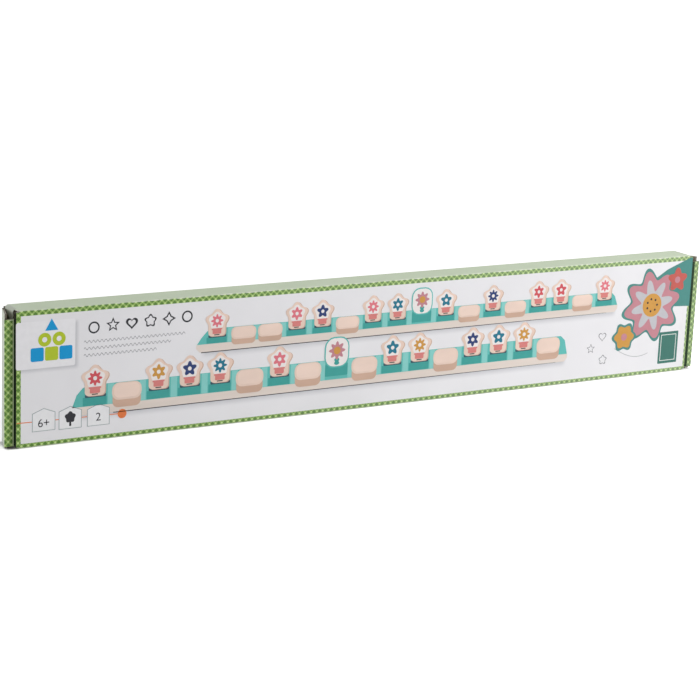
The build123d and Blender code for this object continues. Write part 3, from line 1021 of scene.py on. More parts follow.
def tuck_board(side, node, place, board, material):
    """The tuck flap's board, down to its real lower edge."""
    axis, run, hinge, outward = place
    reach = crease_reach(node, place, board)
    far = max((vertex.co - axis).dot(run) for vertex in frame["nodes"][node].data.vertices)
    top = board.tuck_high - axis.z
    low = board.tuck_low - axis.z
    slant = (far - board.tuck_straight) * tan(board.tuck_slant)
    tips = [(far, low + slant), (far, top - slant)]
    sides = [(board.tuck_straight, low), (board.tuck_straight, top)]
    outline = [sides[0]]
    outline += rounded_corner(sides[0], tips[0], tips[1], board.tuck_tip)
    outline += rounded_corner(tips[0], tips[1], sides[1], board.tuck_tip)
    outline += [sides[1]]
    mesh = bmesh.new()

    def vertex(along, up, off):
        return mesh.verts.new(axis + run * along + hinge * up + outward * off)

    half = board.thick / 2
    outer = [vertex(*point, half) for point in outline]
    inner = [vertex(*point, -half) for point in outline]
    steps = 8
    turns = [pi * k / steps for k in range(steps + 1)]
    root_top = [vertex(reach - half * sin(t), top, half * cos(t)) for t in turns]
    root_low = [vertex(reach - half * sin(t), low, half * cos(t)) for t in turns]
    mesh.faces.new([root_low[0], *outer, root_top[0]])
    mesh.faces.new([root_top[-1], *inner[::-1], root_low[-1]])
    for a, b, c, d in zip(outer, outer[1:], inner[1:], inner):
        mesh.faces.new((a, d, c, b))
    for k in range(steps):
        mesh.faces.new((root_low[k], root_top[k], root_top[k + 1], root_low[k + 1]))
    mesh.faces.new([root_top[0], outer[-1], inner[-1], *root_top[:0:-1]])
    mesh.faces.new([root_low[-1], inner[0], outer[0], *root_low[:-1]])
    bmesh.ops.recalc_face_normals(mesh, faces=mesh.faces)
    piece = finished(f"{side}_tuck_board", mesh, material, f"{side}_tuck")
    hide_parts(node)


class CARTON_OT_board(Operator):
    """Print and finish the sleeve and the end flaps"""

    bl_idname = "carton.board"
    bl_label = "Print the board"

    def execute(self, context):
        board = context.scene.carton_board
        look = context.scene.carton_print
        paint("carton_sleeve", sleeve_finish(look, board))
        for node, place in flap_places(board).items():
            material = flap_finish(node, place, look, board)
            if "tuck" in node:
                tuck_board(node.split("_")[0], node, place, board, material)
            else:
                paint(node, material)
        return {"FINISHED"}


class CARTON_OT_contents(Operator):
    """Finish the boards, rods, blocks, flip faces, cards and leaflet"""

    bl_idname = "carton.contents"
    bl_label = "Finish the contents"

    def execute(self, context):
        picture = context.scene.carton_picture
        look = context.scene.carton_print
        contents = context.scene.carton_contents
        block = wood_finish("wood_blocks", contents.block_wood)
        steel = steel_finish(contents)
        for row in ("lower", "upper"):
            painted_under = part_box(f"{row}_base")[0].y + contents.paint_depth
            base = wood_finish(f"wood_base_{row}", contents.wood, picture.rail_teal, painted_under)
            paint(f"{row}_base", base)
            paint(f"{row}_hinge_rod", steel)
            paint(f"{row}_bearing_blocks", block)
            faces = face_finish(picture, contents, row)
            for number in range(1, PLACES):
                paint(f"{row}_face_{number:02d}", faces)
        paint("target_cards", card_finish(picture, contents))
        paint("rules_leaflet", leaflet_finish(look, contents))
        return {"FINISHED"}


def fold_skin(
    name, node, place, parent_run, parent_out, materials, board, bulge=None, span=None, steps=6
):
    """The liner over one crease, printed outside and kraft inside, bent between the two bodies there."""
    axis, run, hinge, outward = place
    reach = crease_reach(node, place, board)
    span = span or [corner.dot(hinge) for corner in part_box(node)]
    middle = (parent_out + outward).normalized()

    def path(off):
        """One side of the liner: an arc at each board's end, or one bulging arc about the axis."""
        points = [axis + parent_run * (reach + board.skin_tail) + parent_out * off]
        ends = (parent_run * reach, run * reach) if bulge is None else (Vector(), Vector())
        turns = ((ends[0], parent_out, middle), (ends[1], middle, outward))
        for half, (end, first, last) in enumerate(turns):
            for k in range(steps + 1):
                arc = off + (bulge or 0.0) * sin(pi * (half + k / steps) / 2)
                points.append(axis + end + first.lerp(last, k / steps).normalized() * arc)
        points.append(axis + run * (reach + board.skin_tail) + outward * off)
        return points

    loop = path(board.thick / 2 + board.skin) + path(board.thick / 2 - board.skin)[::-1]
    mesh = bmesh.new()
    ends = []
    for shift in span:
        ends.append([mesh.verts.new(p + hinge * (shift - p.dot(hinge))) for p in loop])
    first, second = ends
    count = len(loop)
    half = count // 2
    for a in range(count):
        b = (a + 1) % count
        face = mesh.faces.new((first[a], first[b], second[b], second[a]))
        face.material_index = int(a >= half - 1)
    for cap in (first, second):
        for a in range(half - 1):
            mesh.faces.new((cap[a], cap[a + 1], cap[count - 2 - a], cap[count - 1 - a]))
    bmesh.ops.recalc_face_normals(mesh, faces=mesh.faces)
    piece = finished(name, mesh, materials[0], None)
    piece.data.materials.append(materials[1])
    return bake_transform(piece)


class CARTON_OT_creases(Operator):
    """Run the printed liner over the creases of the end flaps"""

    bl_idname = "carton.creases"
    bl_label = "Cover the creases"

    def execute(self, context):
        board = context.scene.carton_board
        look = context.scene.carton_print
        places = flap_places(board)
        inside = Finish("skin_inside", roughness=0.7)
        kraft = inside.colour(inside.kraft(board))
        for index, (side, sign) in enumerate(ENDS.items()):
            inward = Vector((-sign, 0, 0))
            closure = places[f"{side}_closure_panel"]
            plain = Finish(f"skin_{side}_closure")
            pale = plain.paper_feel(plain.pale(look.flap_green))
            fold_skin(
                f"{side}_closure_crease_skin", f"{side}_closure_panel", closure, inward, Vector((0, 1, 0)),
                (pale, kraft), board, 0.0,
                [board.skin_foot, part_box(f"{side}_closure_panel")[1].z],
            )
            tuck = places[f"{side}_tuck_flap"]
            checked = Finish(f"skin_{side}_tuck")
            across, up = (checked.along(tuck[0], direction) for direction in tuck[1:3])
            fold_skin(
                f"{side}_tuck_crease_skin", f"{side}_tuck_flap", tuck, -closure[1], closure[3],
                (checked.paper_feel(check(checked, across, up, look)), kraft),
                board, board.bulge[index],
                [board.tuck_low, board.tuck_high],
            )
            for level, turn in LEVELS.items():
                node = f"{side}_{level}_dust_flap"
                fold_skin(
                    f"{side}_{level}_dust_crease_skin", node, places[node], inward, Vector((0, 0, turn)),
                    (pale, kraft), board,
                )
        return {"FINISHED"}


class CARTON_OT_flutes(Operator):
    """Lay fluted paper in the raw edges of the board"""

    bl_idname = "carton.flutes"
    bl_label = "Flute the raw edges"

    def execute(self, context):
        board = context.scene.carton_board
        kraft = self.paper("kraft_flutes", board.kraft)
        # the front's end flutes are painted near black as shade
        shaded_end = self.paper("end_flutes_painted_shade", board.end_edge_shade)
        tree = flute_tree()
        places = flap_places(board)
        sink = board.flute_paper / 2 - board.flute_stand
        settings = {
            "Pitch": board.flute_pitch, "Swing": board.thick / 2 - board.liner - board.flute_paper / 2,
            "Paper": board.flute_paper, "Material": kraft,
        }
        for side, sign in ENDS.items():
            x = (sleeve_high.x if sign > 0 else sleeve_low.x) - sign * sink
            y = sleeve_low.y + board.thick / 2
            points = [(x, y, sleeve_low.z + board.flute_inset), (x, y, sleeve_high.z - board.flute_inset)]
            front = settings | {"Across": (0, 1, 0), "Material": shaded_end}
            grow(f"{side}_front_flutes", points, [(0, 1)], tree, front, "carton")
            closure, tuck = f"{side}_closure_panel", f"{side}_tuck_flap"
            axis, run, _, outward = places[closure]
            low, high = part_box(closure)
            start = crease_reach(closure, places[closure], board) + board.flute_gap
            tuck_reach = crease_reach(tuck, places[tuck], board) + board.flute_gap
            stop = (places[tuck][0] - axis).length - tuck_reach
            points, edges = [], []
            for level in (low.z + sink, high.z - sink):
                for distance in (start, stop):
                    point = axis + run * distance
                    points.append((point.x, point.y, level))
                edges.append((len(points) - 2, len(points) - 1))
            across = settings | {"Across": tuple(outward)}
            grow(f"{side}_closure_flutes", points, edges, tree, across, f"{side}_closure")
        return {"FINISHED"}

    def paper(self, name, colour):
        finish = Finish(name, roughness=0.8)
        return finish.colour(finish.tone(colour, finish.noise(800, 3), 0.06))


# Toy blocks on the label: three squares in a row, two rings on them and a triangle on top
BLOCK_SIDE = 10.4
BLOCK_ROUND = 1.4
BLOCK_FOOT = 65.5
BLUE_BLOCKS = (11.5, 34.3)
LIME_BLOCK = 22.9
BLOCK_ROOF = {"u": 28.1, "over": 5.0, "size": 6.0}
BLOCK_RINGS = {"u": (22.6, 34.0), "up": 1.55, "size": 5.2, "line": 3.2}


class CARTON_OT_label(Operator):
    """Print the pale label with its stacked toy blocks"""

    bl_idname = "carton.label"
    bl_label = "Print the label"

    def execute(self, context):
        picture = context.scene.carton_picture
        label = ink_finish("ink_label", picture.label)
        print_piece("print_label", [rounded_box(*LABEL, LABEL_ROUND)], 1, label)
        roof_level = BLOCK_FOOT + 2 * BLOCK_SIDE + BLOCK_ROOF["over"]
        ring_level = BLOCK_FOOT + BLOCK_RINGS["up"] * BLOCK_SIDE
        blues = [self.block(left) for left in BLUE_BLOCKS]
        blues.append(shifted(star_outline(3, 0.5), BLOCK_ROOF["u"], roof_level, BLOCK_ROOF["size"]))
        limes = [self.block(LIME_BLOCK)]
        for u in BLOCK_RINGS["u"]:
            limes.append(ring(wheel_outline(1, 0), u, ring_level, BLOCK_RINGS["size"], BLOCK_RINGS["line"]))
        print_piece("print_blocks_blue", blues, 2, ink_finish("ink_block_blue", picture.block_blue))
        print_piece("print_blocks_lime", limes, 2, ink_finish("ink_block_lime", picture.block_lime))
        return {"FINISHED"}

    def block(self, left):
        foot = BLOCK_FOOT
        return rounded_box((left, foot), (left + BLOCK_SIDE, foot + BLOCK_SIDE), BLOCK_ROUND)


# The tags on the orange line: their sides and levels, then the line, the dot and the top of the tree by
# middle and radius, and the numbers with their middles
TAGS = (
    {"left": 12.8, "right": 31.4, "foot": 11.7, "shoulder": 25.8, "peak": 29.4},
    {"left": 34.1, "right": 52.7, "foot": 11.2, "shoulder": 25.3, "peak": 28.8},
    {"left": 57.1, "right": 75.6, "foot": 11.2, "shoulder": 24.6, "peak": 28.4},
)
TAG_INSIDE = 0.94
TAG_CENTRE_LIFT = 1.0
ORANGE_LINE = {"start": (0.6, 19.4), "stop": (85.9, 18.2), "width": 0.7}
ORANGE_DOT = (85.9, 18.4, 3.7)
TREE_TOP = (43.4, 20.2, 4.6)
TREE_FORM = (5, 0.12, 40, pi / 2)
TREE_TRUNK = ((42.6, 13.2), (44.2, 19.0), 0.5)
NUMBERS = (("6+", 22.1), ("2", 66.3))
NUMBER_FOOT = 15.0
NUMBER_SIZE = 9.0
NUMBER_DEPTH = 0.03


def number_mesh(text, u):
    """A plain number as a mesh on the front panel, two layers up."""
    curve = bpy.data.curves.new("numbers", "FONT")
    curve.body = text
    curve.size = NUMBER_SIZE * MM
    curve.align_x = "CENTER"
    curve.extrude = NUMBER_DEPTH * MM
    holder = placed("numbers", curve, None)
    data = bpy.data.meshes.new_from_object(holder.evaluated_get(bpy.context.evaluated_depsgraph_get()))
    bpy.data.objects.remove(holder)
    foot = front_point(u, NUMBER_FOOT, 2 * bpy.context.scene.carton_print.layer)
    data.transform(Matrix.Translation(foot) @ Matrix.Rotation(pi / 2, 4, "X"))
    data.materials.clear()
    return data


class CARTON_OT_tags(Operator):
    """Print the three tags on their orange line"""

    bl_idname = "carton.tags"
    bl_label = "Print the tags"

    def execute(self, context):
        picture = context.scene.carton_picture
        orange = ink_finish("ink_orange", picture.orange)
        (left, left_foot), (right, right_foot) = ORANGE_LINE["start"], ORANGE_LINE["stop"]
        wide = ORANGE_LINE["width"]
        line = [(left, left_foot), (right, right_foot), (right, right_foot + wide), (left, left_foot + wide)]
        print_piece("print_orange_line", [line], 1, orange)
        print_piece("print_orange_dot", [disc(*ORANGE_DOT, 40)], 2, orange)
        fills, edges = [], []
        for tag in TAGS:
            left, right, foot, shoulder = (tag[key] for key in ("left", "right", "foot", "shoulder"))
            middle = (left + right) / 2
            house = [(left, foot), (right, foot), (right, shoulder), (middle, tag["peak"]), (left, shoulder)]
            centre = (foot + shoulder) / 2 + TAG_CENTRE_LIFT
            inner = [
                (middle + TAG_INSIDE * (a - middle), centre + TAG_INSIDE * (b - centre)) for a, b in house
            ]
            fills.append(inner)
            edges.append((house, inner))
        print_piece("print_tags", fills, 2, ink_finish("ink_tag", picture.tag))
        print_piece("print_tag_edges", edges, 2, ink_finish("ink_tag_line", picture.tag_line))
        dark = ink_finish("ink_line", picture.line_ink)
        print_piece("print_tag_tree", [shifted(wheel_outline(*TREE_FORM), *TREE_TOP)], 3, dark)
        print_piece("print_tag_trunk", [rounded_box(*TREE_TRUNK, 3)], 3.4, dark)
        for number, (text, u) in enumerate(NUMBERS, 1):
            data = number_mesh(text, u)
            data.materials.append(dark)
            placed(f"print_tag_number_{number}", data, "carton")
        return {"FINISHED"}


# The rail's shape: its cut front corners, the line under it, and its top's rounded and slanted ends
RAIL_NOSE = 3.0
LINE_STOP = 12.0
LINE_THIN = 150.0
LINE_DEPTH = {"start": 0.55, "thin": 0.45, "stop": 0.1}
TOP_INSET = {"left": 0.6, "right": 0.4}
TOP_ROUND = ((4.2, 7.0), (9.0, 2.0), (14.0, 0.0))
TOP_SLANT = ((3.5, 4.0), (8.0, 0.0))
PLACE_GAP = {"width": 5.2, "short": 0.6, "round": 0.3}

# Pieces of a lying token: name, level as a share of the rail's depth, millimetres over that, layer, ink,
# and then width, height and corner
LYING_PARTS = (
    ("lying_sides", 0.19, 0.0, 4, "side", (23.6, 12.6, 4.6)),
    ("lying_tokens", 0.57, 0.0, 5, "token", (24.6, 13.6, 5.6)),
    ("lying_tops", 0.57, 0.4, 6, "token_top", (21.4, 11.0, 4.4)),
)

# Pieces of a standing token, from back to front: name, form, level over its foot, layer, ink, shift, sizes
BODY = {"width": 16.6, "height": 13.4, "round": 3.4}
HEAD = {"size": 11.6, "petals": 5, "dent": 0.13, "flat": 0.96}
STANDING_PARTS = (
    ("token_sides", "tablet", 6.6, 4.6, "side", 0.9, BODY),
    ("head_sides", "blossom", 13.0, 5, "side", 0.9, HEAD),
    ("tokens", "tablet", 7.0, 5.6, "token", 0.0, BODY),
    ("heads", "blossom", 13.3, 6, "token", 0.0, HEAD),
    ("fields", "blossom", 13.9, 7, "pale", 0.0, {"size": 8.4, "petals": 5, "dent": 0.1, "flat": 0.96}),
    ("pots", "tablet", 4.4, 7.4, "pot", 0.0, {"width": 8.4, "height": 4.2, "round": 0.9}),
    ("rims", "tablet", 6.6, 7.8, "pot", 0.0, {"width": 10.2, "height": 1.4, "round": 0.5}),
    ("marks", "tablet", 1.5, 7.1, "line", 0.0, {"width": 5.0, "height": 0.8, "round": 0.3}),
)
CELL = {"level": 0.22, "height": 0.4, "width": 19.5, "round": 0.4}
TOKEN_FOOT = 0.46
FOOT_LEVEL = 0.3
FOOT_SHIFT = 0.6
FOOT = {"width": 17.5, "height": 2.4, "round": 1.0}
MOTIF_LEVEL = 13.9
MOTIF_PETALS = (8, 6, 5)
SEED_STEP = 7
MOTIF = {"size": 6.1, "dent": 0.26, "flat": 1.0}
HEART = {"size": 1.6, "petals": 1, "dent": 0.0, "flat": 1.0}

# Pieces of the target card, from back to front: name, form, level over its foot, layer, ink and sizes
CARD_FOOT = 0.42
CARD_PARTS = (
    ("card_base", "tablet", 1.0, 4, "cell", {"width": 21.0, "height": 10.0, "round": 0.8}),
    ("card_edge", "tablet", 15.6, 5, "teal", {"width": 23.0, "height": 25.4, "round": 8.6}),
    ("card", "tablet", 15.6, 6, "pale", {"width": 20.8, "height": 23.2, "round": 7.6}),
    ("card_leaf", "blossom", 8.0, 7, "cell", {"size": 5.0, "petals": 2, "dent": 0.5, "flat": 0.6}),
    ("card_petals", "blossom", 17.0, 8, "petal", {"size": 7.8, "petals": 8, "dent": 0.24, "flat": 1.0}),
    ("card_heart", "blossom", 17.0, 9, "mustard", {"size": 3.2, "petals": 1, "dent": 0.0, "flat": 1.0}),
)
UNSCALED = ("petals", "dent", "flat")
GROWTH_ROOT = 0.2


class RailPrinter:
    """Prints one rail with its tokens. Sizes are in millimetres at the lower rail's scale."""

    def __init__(self, rail, inks, trees, seed):
        self.rail, self.inks, self.trees, self.seed = rail, inks, trees, seed
        self.name, self.edge = rail["name"], rail["edge"]
        self.depth = rail["back"] - rail["edge"]
        lower = RAILS[1]
        self.wide = rail["pitch"] / lower["pitch"]
        self.deep = self.depth / (lower["back"] - lower["edge"])
        self.layer = bpy.context.scene.carton_print.layer

    def spread(self, label, kind, chosen, level, layers, ink_name, shift=0.0, **sizes):
        """Sets tablets or blossoms on the chosen places, their middles at a level over the panel's foot."""
        rail = self.rail
        root = GROWTH_ROOT
        across = [rail["first"] + rail["pitch"] * place + shift * self.wide for place in chosen]
        points = [front_point(u, level, -root * self.layer) for u in across]
        settings = {"Thick": self.layer * (layers + root), "Seed": self.seed, "Material": self.inks[ink_name]}
        for size, value in sizes.items():
            settings[size.capitalize()] = value if size in UNSCALED else value * self.wide * MM
        grow(f"print_{self.name}_{label}", points, [], self.trees[kind], settings, "carton")

    def bar(self):
        """The rail itself: its front edge with a dark line under it, and its painted top."""
        rail, name = self.rail, self.name
        left, right, foot, edge, back = (rail[key] for key in ("left", "right", "foot", "edge", "back"))
        nose = RAIL_NOSE
        low = [(left + nose, foot), (right - nose, foot), (right, foot + nose)]
        low += [(right, edge), (left, edge), (left, foot + nose)]
        print_piece(f"print_{name}_rail_edge", [low], 1, self.inks["wood"])
        start, stop, deep = rail["line"], right - LINE_STOP, LINE_DEPTH
        line = [(start, foot - deep["start"]), (right - LINE_THIN, foot - deep["thin"])]
        line += [(stop, foot - deep["stop"]), (stop, foot + deep["stop"]), (start, foot + deep["stop"])]
        print_piece(f"print_{name}_rail_line", [line], 2, self.inks["line"])
        top = [(left + TOP_INSET["left"], edge), (right - TOP_INSET["right"], edge)]
        top += [(right - inset, back - under) for inset, under in TOP_SLANT]
        top += [(left + inset, back - under) for inset, under in TOP_ROUND[::-1]]
        print_piece(f"print_{name}_rail_top", [top], 2, self.inks["teal"])

    def places(self):
        """Lighter painted places between the tokens."""
        self.spread(
            "places", "tablet", range(PLACES - 1), self.edge + self.depth / 2, 3, "place",
            self.rail["pitch"] / 2 / self.wide, width=PLACE_GAP["width"],
            height=(self.depth - PLACE_GAP["short"]) / self.wide, round=PLACE_GAP["round"],
        )

    def lying(self, chosen):
        """Tokens that lie on their faces, as low rounded tablets."""
        squash = self.deep / self.wide
        for label, level, over, layers, ink_name, (width, height, corner) in LYING_PARTS:
            self.spread(
                label, "tablet", chosen, self.edge + level * self.depth + over, layers, ink_name,
                width=width, height=height * squash, round=corner * squash,
            )

    def standing(self, chosen):
        """Tokens that stand up, each with a flower in a pot."""
        foot = self.edge + TOKEN_FOOT * self.depth
        up = self.wide
        cell = CELL | {"height": CELL["height"] * self.depth / self.wide}
        level = self.edge + cell.pop("level") * self.depth
        self.spread("cells", "tablet", chosen, level, 3, "cell", **cell)
        self.spread("token_feet", "tablet", chosen, foot + FOOT_LEVEL * up, 4, "foot", FOOT_SHIFT, **FOOT)
        for label, kind, level, layers, ink_name, shift, sizes in STANDING_PARTS:
            self.spread(label, kind, chosen, foot + level * up, layers, ink_name, shift, **sizes)
        middle = foot + MOTIF_LEVEL * up
        for number, petals in enumerate(MOTIF_PETALS):
            self.seed += SEED_STEP
            group = chosen[number::len(MOTIF_PETALS)]
            self.spread(f"flowers_{petals}", "blossom", group, middle, 8, "motif", petals=petals, **MOTIF)
        self.spread("hearts", "blossom", chosen, middle, 9, "pale", **HEART)

    def card(self, place):
        """The target card in the middle of the rail, with a flower on it."""
        foot = self.edge + CARD_FOOT * self.depth
        for label, kind, level, layers, ink_name, sizes in CARD_PARTS:
            self.spread(label, kind, [place], foot + level * self.wide, layers, ink_name, **sizes)


class CARTON_OT_rails(Operator):
    """Print the two rails and their wooden tokens"""

    bl_idname = "carton.rails"
    bl_label = "Print the rails"

    def execute(self, context):
        picture = context.scene.carton_picture
        along, across = (0.3, 1, 1), (1, 1, 0.3)
        inks = {
            "wood": ink_finish("ink_rail_wood", picture.rail_wood, (40, 4, (0.12, 1, 2.5)), 0.05),
            "teal": ink_finish("ink_rail_teal", picture.rail_teal, (30, 3, (1, 1, 0.2)), 0.05),
            "token": ink_finish("ink_token", picture.token, (70, 4, across), 0.05),
            "token_top": ink_finish("ink_token_top", picture.token_top, (70, 4, along), 0.05),
            "side": ink_finish("ink_token_side", picture.token_side, (70, 4, along), 0.06),
            "foot": ink_finish("ink_token_foot", picture.token_foot),
            "pale": ink_finish("ink_token_field", picture.token_pale),
            "place": ink_finish("ink_rail_place", picture.rail_slot),
            "cell": ink_finish("ink_rail_cell", picture.rail_cell),
            "pot": ink_finish("ink_pot", picture.pot),
            "petal": ink_finish("ink_card_petal", picture.petal),
            "mustard": ink_finish("ink_card_heart", picture.mustard),
            "line": ink_finish("ink_rail_line", picture.line_ink),
            "motif": motif_ink(picture),
        }
        trees = {"tablet": tablet_tree(), "blossom": blossom_tree()}
        centre = PLACES // 2
        for number, rail in enumerate(RAILS):
            printer = RailPrinter(rail, inks, trees, picture.token_seed + number)
            lying = LYING[rail["name"]]
            printer.bar()
            printer.places()
            printer.lying(lying)
            printer.standing([place for place in range(PLACES) if place != centre and place not in lying])
            printer.card(centre)
        return {"FINISHED"}


# The wedge in the upper right corner, then the flowers: their middles, and radii from the outline inwards
CORNER_MARGIN = {"side": 0.15, "top": 2.0}
CORNER_EDGE = ((612.0, 94.0), (598.0, 86.0), (622.0, 60.0))
CORNER_TOP = 637.0
CORNER_FOOT = 59.0
FLOWER = (597.0, 63.0)
FLOWER_RADII = {"edge": 34.0, "petals": 31.0, "inner": 23.0, "heart": 10.5}
SEEDS = {"count": 7, "ring": 5.6, "size": 1.0}
SIDE_FLOWER = (568.0, 36.5)
SIDE_FLOWER_RADII = {"edge": 13.5, "petals": 11.0, "heart": 3.2}
SMALL_FLOWER = (624.0, 84.0)
SMALL_FLOWER_RADII = {"petals": 11.0, "heart": 3.0}

# Their outlines: petals, how deep they part, points and where the first petal stands
FLOWER_FORM = (8, 0.16, 160, 0.2)
INNER_FORM = (8, 0.3, 160, 0.2)
SIDE_FORM = (6, 0.12, 96)
SMALL_FORM = (5, 0.22, 80, pi / 2)


class CARTON_OT_flower(Operator):
    """Print the corner wedge with its large flower"""

    bl_idname = "carton.flower"
    bl_label = "Print the flower"

    def execute(self, context):
        picture = context.scene.carton_picture
        corner = ink_finish("ink_corner_teal", picture.corner_teal)
        petal = ink_finish("ink_petal", picture.petal)
        pale = ink_finish("ink_petal_pale", picture.petal_pale)
        mustard = ink_finish("ink_mustard", picture.mustard)
        red = ink_finish("ink_red", picture.red)
        dark = ink_finish("ink_dark", picture.line_ink)
        right = PANEL_LONG - CORNER_MARGIN["side"]
        top = PANEL_HIGH - CORNER_MARGIN["top"]
        wedge = [(right, CORNER_FOOT), (right, top), (CORNER_TOP, top), *CORNER_EDGE]
        print_piece("print_corner", [wedge], 1, corner)

        large, side, small = FLOWER_RADII, SIDE_FLOWER_RADII, SMALL_FLOWER_RADII
        flower, inner, side_flower, small_flower = (
            wheel_outline(*form) for form in (FLOWER_FORM, INNER_FORM, SIDE_FORM, SMALL_FORM)
        )
        side_edge = shifted(side_flower, *SIDE_FLOWER, side["edge"])
        print_piece("print_flower_edge", [shifted(flower, *FLOWER, large["edge"])], 2, corner)
        print_piece("print_side_flower_edge", [side_edge], 3.5, corner)
        print_piece("print_flower_petals", [shifted(flower, *FLOWER, large["petals"])], 3, petal)
        print_piece("print_flower_inner", [shifted(inner, *FLOWER, large["inner"])], 4, pale)
        yellow = [disc(*FLOWER, large["heart"], 64), shifted(side_flower, *SIDE_FLOWER, side["petals"])]
        print_piece("print_flower_heart", yellow, 5, mustard)
        seeds = []
        for k in range(SEEDS["count"]):
            turn = tau * k / SEEDS["count"]
            u = FLOWER[0] + SEEDS["ring"] * cos(turn)
            v = FLOWER[1] + SEEDS["ring"] * sin(turn)
            seeds.append(disc(u, v, SEEDS["size"], 16))
        print_piece("print_flower_seeds", seeds, 6, dark)
        print_piece("print_small_flower", [shifted(small_flower, *SMALL_FLOWER, small["petals"])], 5, red)
        hearts = [disc(*SMALL_FLOWER, small["heart"], 32), disc(*SIDE_FLOWER, side["heart"], 32)]
        print_piece("print_small_hearts", hearts, 6, petal)
        return {"FINISHED"}


# Outlines drawn as a line: kind, middle, size and width of the line
GARLAND = (
    ("circle", 62.0, 87.6, 4.6, 1.25), ("star", 77.5, 88.4, 5.9, 2.2),
    ("heart", 93.0, 88.6, 5.0, 1.875), ("blossom", 108.5, 89.0, 5.3, 1.375),
    ("spark", 124.0, 89.4, 5.8, 2.2), ("circle", 139.5, 89.8, 4.6, 1.25),
)
THIN_MOTIFS = (
    ("heart", 544.0, 39.0, 4.2, 0.7), ("star", 532.0, 29.0, 4.6, 1.0), ("blossom", 546.0, 18.0, 4.4, 0.7),
)

# Wavy lines under the garland, each one shorter and lower than the last
WAVES = {"count": 3, "start": 54.0, "stop": 138.0, "shorter": 12.0, "level": 77.0, "lower": 5.2}
WAVE = {"length": 3.4, "swing": 0.9, "line": 0.5, "steps": 8}

# The green plaque, the two sides of its ruled line, and the thin curve beside it
PLAQUE = ((608.2, 8.4), (629.8, 37.2))
RULED_OUTER = ((610.4, 10.8), (627.6, 34.8))
RULED_INNER = ((611.0, 11.4), (627.0, 34.2))
PLAQUE_ROUND = 0.5
CURVE = {
    "start": 558.0, "stop": 596.0, "level": 27.0, "drop": 9.5, "turn": 0.72 * pi, "line": 0.5, "steps": 24,
}


class CARTON_OT_small_prints(Operator):
    """Print the garland, the green plaque and the thin curve"""

    bl_idname = "carton.small_prints"
    bl_label = "Print the small designs"

    def execute(self, context):
        picture = context.scene.carton_picture
        grey = ink_finish("ink_grey_line", picture.grey_ink)
        print_piece("print_garland", self.outlines(GARLAND), 1, ink_finish("ink_garland", picture.line_ink))
        print_piece("print_waves", [self.wave(row) for row in range(WAVES["count"])], 1, grey)
        print_piece("print_thin_motifs", self.outlines(THIN_MOTIFS), 1, grey)
        plaque, outer, inner = (
            rounded_box(*box, PLAQUE_ROUND, 3) for box in (PLAQUE, RULED_OUTER, RULED_INNER)
        )
        print_piece("print_plaque", [plaque], 1, ink_finish("ink_plaque", picture.plaque))
        ruled = ink_finish("ink_plaque_line", picture.plaque_line)
        print_piece("print_plaque_line", [(outer, inner)], 2, ruled)
        thin = ink_finish("ink_thin_curve", picture.curve_ink)
        print_piece("print_thin_curve", [self.curve()], 1, thin)
        return {"FINISHED"}

    def outlines(self, designs):
        forms = {
            "circle": wheel_outline(1, 0, 40), "blossom": wheel_outline(5, 0.18, 60, pi / 2),
            "star": star_outline(5), "spark": star_outline(4, 0.5), "heart": heart_outline(),
        }
        return [ring(forms[kind], u, v, size, line) for kind, u, v, size, line in designs]

    def band(self, middle, line):
        """A line of even height about its middle points."""
        under = [(u, v - line / 2) for u, v in middle]
        over = [(u, v + line / 2) for u, v in middle]
        return under + over[::-1]

    def wave(self, row):
        """A thin wavy line along the panel."""
        start, stop = WAVES["start"], WAVES["stop"] - WAVES["shorter"] * row
        level = WAVES["level"] - WAVES["lower"] * row
        steps = int((stop - start) / WAVE["length"] * WAVE["steps"])
        middle = []
        for k in range(steps + 1):
            swing = WAVE["swing"] * sin(tau * k / WAVE["steps"])
            middle.append((start + (stop - start) * k / steps, level + swing))
        return self.band(middle, WAVE["line"])

    def curve(self):
        """A thin line that dips and rises again."""
        start, stop, steps = CURVE["start"], CURVE["stop"], CURVE["steps"]
        middle = []
        for k in range(steps + 1):
            drop = CURVE["drop"] * sin(CURVE["turn"] * k / steps)
            middle.append((start + (stop - start) * k / steps, CURVE["level"] - drop))
        return self.band(middle, CURVE["line"])


# Where the lamps stand, what they face and how wide they are, in metres
KEY_LIGHT = {"place": (0.95, -0.85, 1.0), "target": (0.25, 0, 0.05), "size": 0.7}
FILL_LIGHT = {"place": (-1.4, 0.6, 0.15), "target": (-0.32, 0, 0.05), "size": 0.6}
SENSOR_WIDTH = 36.0
NEAREST = 0.05
FARTHEST = 100.0


